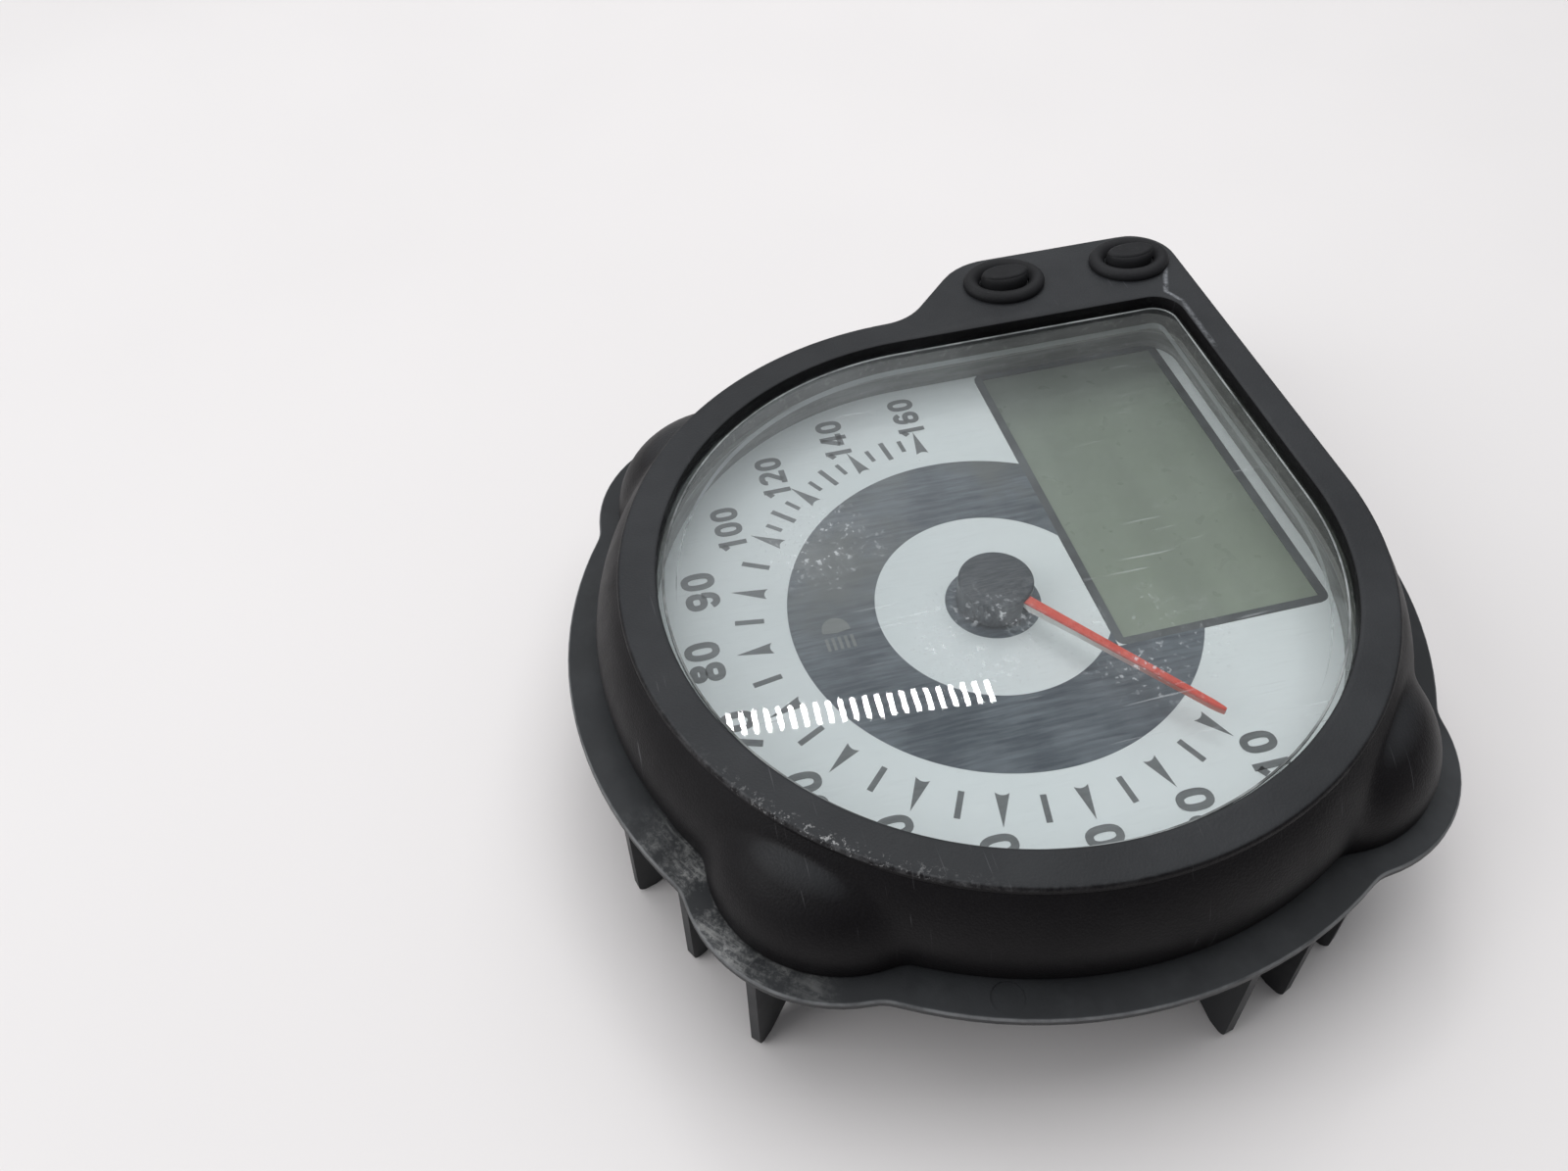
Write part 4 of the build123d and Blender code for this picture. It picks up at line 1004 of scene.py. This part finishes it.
def numerals():
    mesh = bpy.data.meshes.new("dial_numerals")
    shape = bmesh.new()
    for value, angle in mark_angles.items():
        text = str(value)
        radius, height, pitch = NUMERAL_3 if len(text) == 3 else NUMERAL_2
        cx, cy = radius * math.cos(math.radians(angle)), radius * math.sin(math.radians(angle))
        for k, digit in enumerate(text):
            x0 = cx + (k - (len(text) - 1) / 2) * pitch - GLYPH_W * height / 2
            y0 = cy - height / 2
            for path, closed in glyph_strokes(digit):
                for quad in ribbon(path, GLYPH_STROKE, closed):
                    spots = [(x0 + q.x * height, y0 + q.y * height, PRINT_Z[1]) for q in quad]
                    shape.faces.new([shape.verts.new([v * MM for v in spot]) for spot in spots])
    bmesh.ops.remove_doubles(shape, verts=shape.verts, dist=1e-7)
    for face in shape.faces:
        if face.normal.z < 0:
            face.normal_flip()
    shape.to_mesh(mesh)
    shape.free()
    return mesh


piece("dial_numerals", numerals(), INK_MARK, "case")

# The high-beam sign on the ring: a lamp on the right and five rays on the left.
BEAM_AT = (0.0, 26.6)
lamp = [(BEAM_AT[0] + 0.6 + x, BEAM_AT[1] + y) for x, y in
        [(0.0, 2.3)] + arc(2.6, 90, -90, 18, (0.3, 0.0), 0.9) + [(0.0, -2.3), (-0.35, 0.0)]]
rays = []
for k in range(5):
    y = BEAM_AT[1] + (2 - k) * 1.05
    rays.append([(BEAM_AT[0] - 3.2, y - 0.26), (BEAM_AT[0] - 0.6, y - 0.26), (BEAM_AT[0] - 0.6, y + 0.26),
                 (BEAM_AT[0] - 3.2, y + 0.26)])
sign = prism([lamp] + rays, DIAL_Z + PRINT_T, DIAL_Z + 2 * PRINT_T)
piece("high_beam_sign", sign, INK_FAINT, "case")

# ---------------------------------------------------------------- needle


def needle_red():
    s = Shade("needle_red")
    along = s.noise(400.0, 2.0)
    tint = s.mix(s.remap(along, 0.3, 0.7), (0.72, 0.07, 0.045), (0.82, 0.12, 0.075))
    return s.finish(tint, s.remap(s.noise(900.0), 0.3, 0.7, 0.22, 0.34), s.bump(s.noise(2600.0), 0.004 * MM),
                    Subsurface_Weight=0.25, Subsurface_Radius=(0.002, 0.0006, 0.0004))


def needle_side():
    """White light pipe near the hub that turns to the red film's tint further out."""
    s = Shade("needle_side")
    far = s.node("VectorMath", operation="LENGTH")
    s.feed(far.inputs[0], s.place)
    out = s.remap(far.outputs["Value"], 0.0375, 0.0455)
    white = s.mix(s.remap(s.noise(300.0, 3.0), 0.3, 0.7), (0.74, 0.72, 0.70), (0.86, 0.85, 0.83))
    tint = s.mix(out, white, (0.62, 0.20, 0.15))
    return s.finish(tint, s.remap(s.noise(900.0), 0.3, 0.7, 0.14, 0.24), s.bump(s.noise(2600.0), 0.004 * MM))


def tapered_bar(name, reach, widths, low, high, flare=0.0):
    """A long bar on +X, with softened top edges and a foot that flares past the cap."""
    mesh = bpy.data.meshes.new(name)
    shape = bmesh.new()
    rings = []
    for i in range(33):
        t = i / 32
        x = reach[0] + (reach[1] - reach[0]) * t
        half = (widths[0] + (widths[1] - widths[0]) * t) / 2
        if i >= 31:
            half *= 0.86 if i == 31 else 0.45
        foot = half + (flare * (1 - t) ** 3 if x > 6.4 else 0.0)
        soft = min(0.16, half * 0.4)
        profile = [(-foot, low), (foot, low), (half, high - soft), (half - soft, high), (-half + soft, high),
                   (-half, high - soft)]
        rings.append([shape.verts.new((x * MM, y * MM, z * MM)) for y, z in profile])
    for a, b in zip(rings, rings[1:]):
        for k in range(6):
            shape.faces.new((a[k], a[(k + 1) % 6], b[(k + 1) % 6], b[k]))
    shape.faces.new(rings[0])
    shape.faces.new(list(reversed(rings[-1])))
    bmesh.ops.recalc_face_normals(shape, faces=shape.faces)
    shape.to_mesh(mesh)
    shape.free()
    mesh.transform(Matrix.Rotation(math.radians(NEEDLE_ANGLE), 4, "Z"))
    return mesh


NEEDLE_SPLIT_Z = 34.6
red_mesh = tapered_bar("needle_red_film", NEEDLE_R, NEEDLE_WIDTHS, NEEDLE_SPLIT_Z, NEEDLE_Z[1])
side_mesh = tapered_bar("needle_light_pipe", NEEDLE_R, NEEDLE_WIDTHS, NEEDLE_Z[0], NEEDLE_SPLIT_Z, 0.45)
red_film = piece("needle_red_film", red_mesh, needle_red(), "pointer")
piece("needle_light_pipe", side_mesh, needle_side(), "pointer")
hub_rings = ((1.1, 31.7), (HUB_R - 0.3, 31.7), (HUB_R, 32.0), (HUB_R, 34.6), (HUB_R - 0.3, 34.9), (1.1, 34.9))
hub_mesh = smooth(lathe_mesh("needle_hub", hub_rings, (0.0, 0.0)))
piece("needle_hub", hub_mesh, needle_side(), "pointer")
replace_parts(red_film, "needle")

# ---------------------------------------------------------------- floor


def table_top():
    s = Shade("table_white")
    tint = s.mix(s.remap(s.noise(4.0, 3.0), 0.3, 0.7), (0.765, 0.735, 0.728), (0.795, 0.765, 0.758))
    return s.finish(tint, s.remap(s.noise(30.0), 0.3, 0.7, 0.45, 0.55), s.bump(s.noise(900.0), 0.01 * MM))


floor_mesh = bpy.data.meshes.new("table")
floor_mesh.from_pydata([(-3, -3, 0), (3, -3, 0), (3, 3, 0), (-3, 3, 0)], [], [(0, 1, 2, 3)])
floor_mesh.materials.append(table_top())
table = bpy.data.objects.new("table", floor_mesh)
bpy.context.scene.collection.objects.link(table)
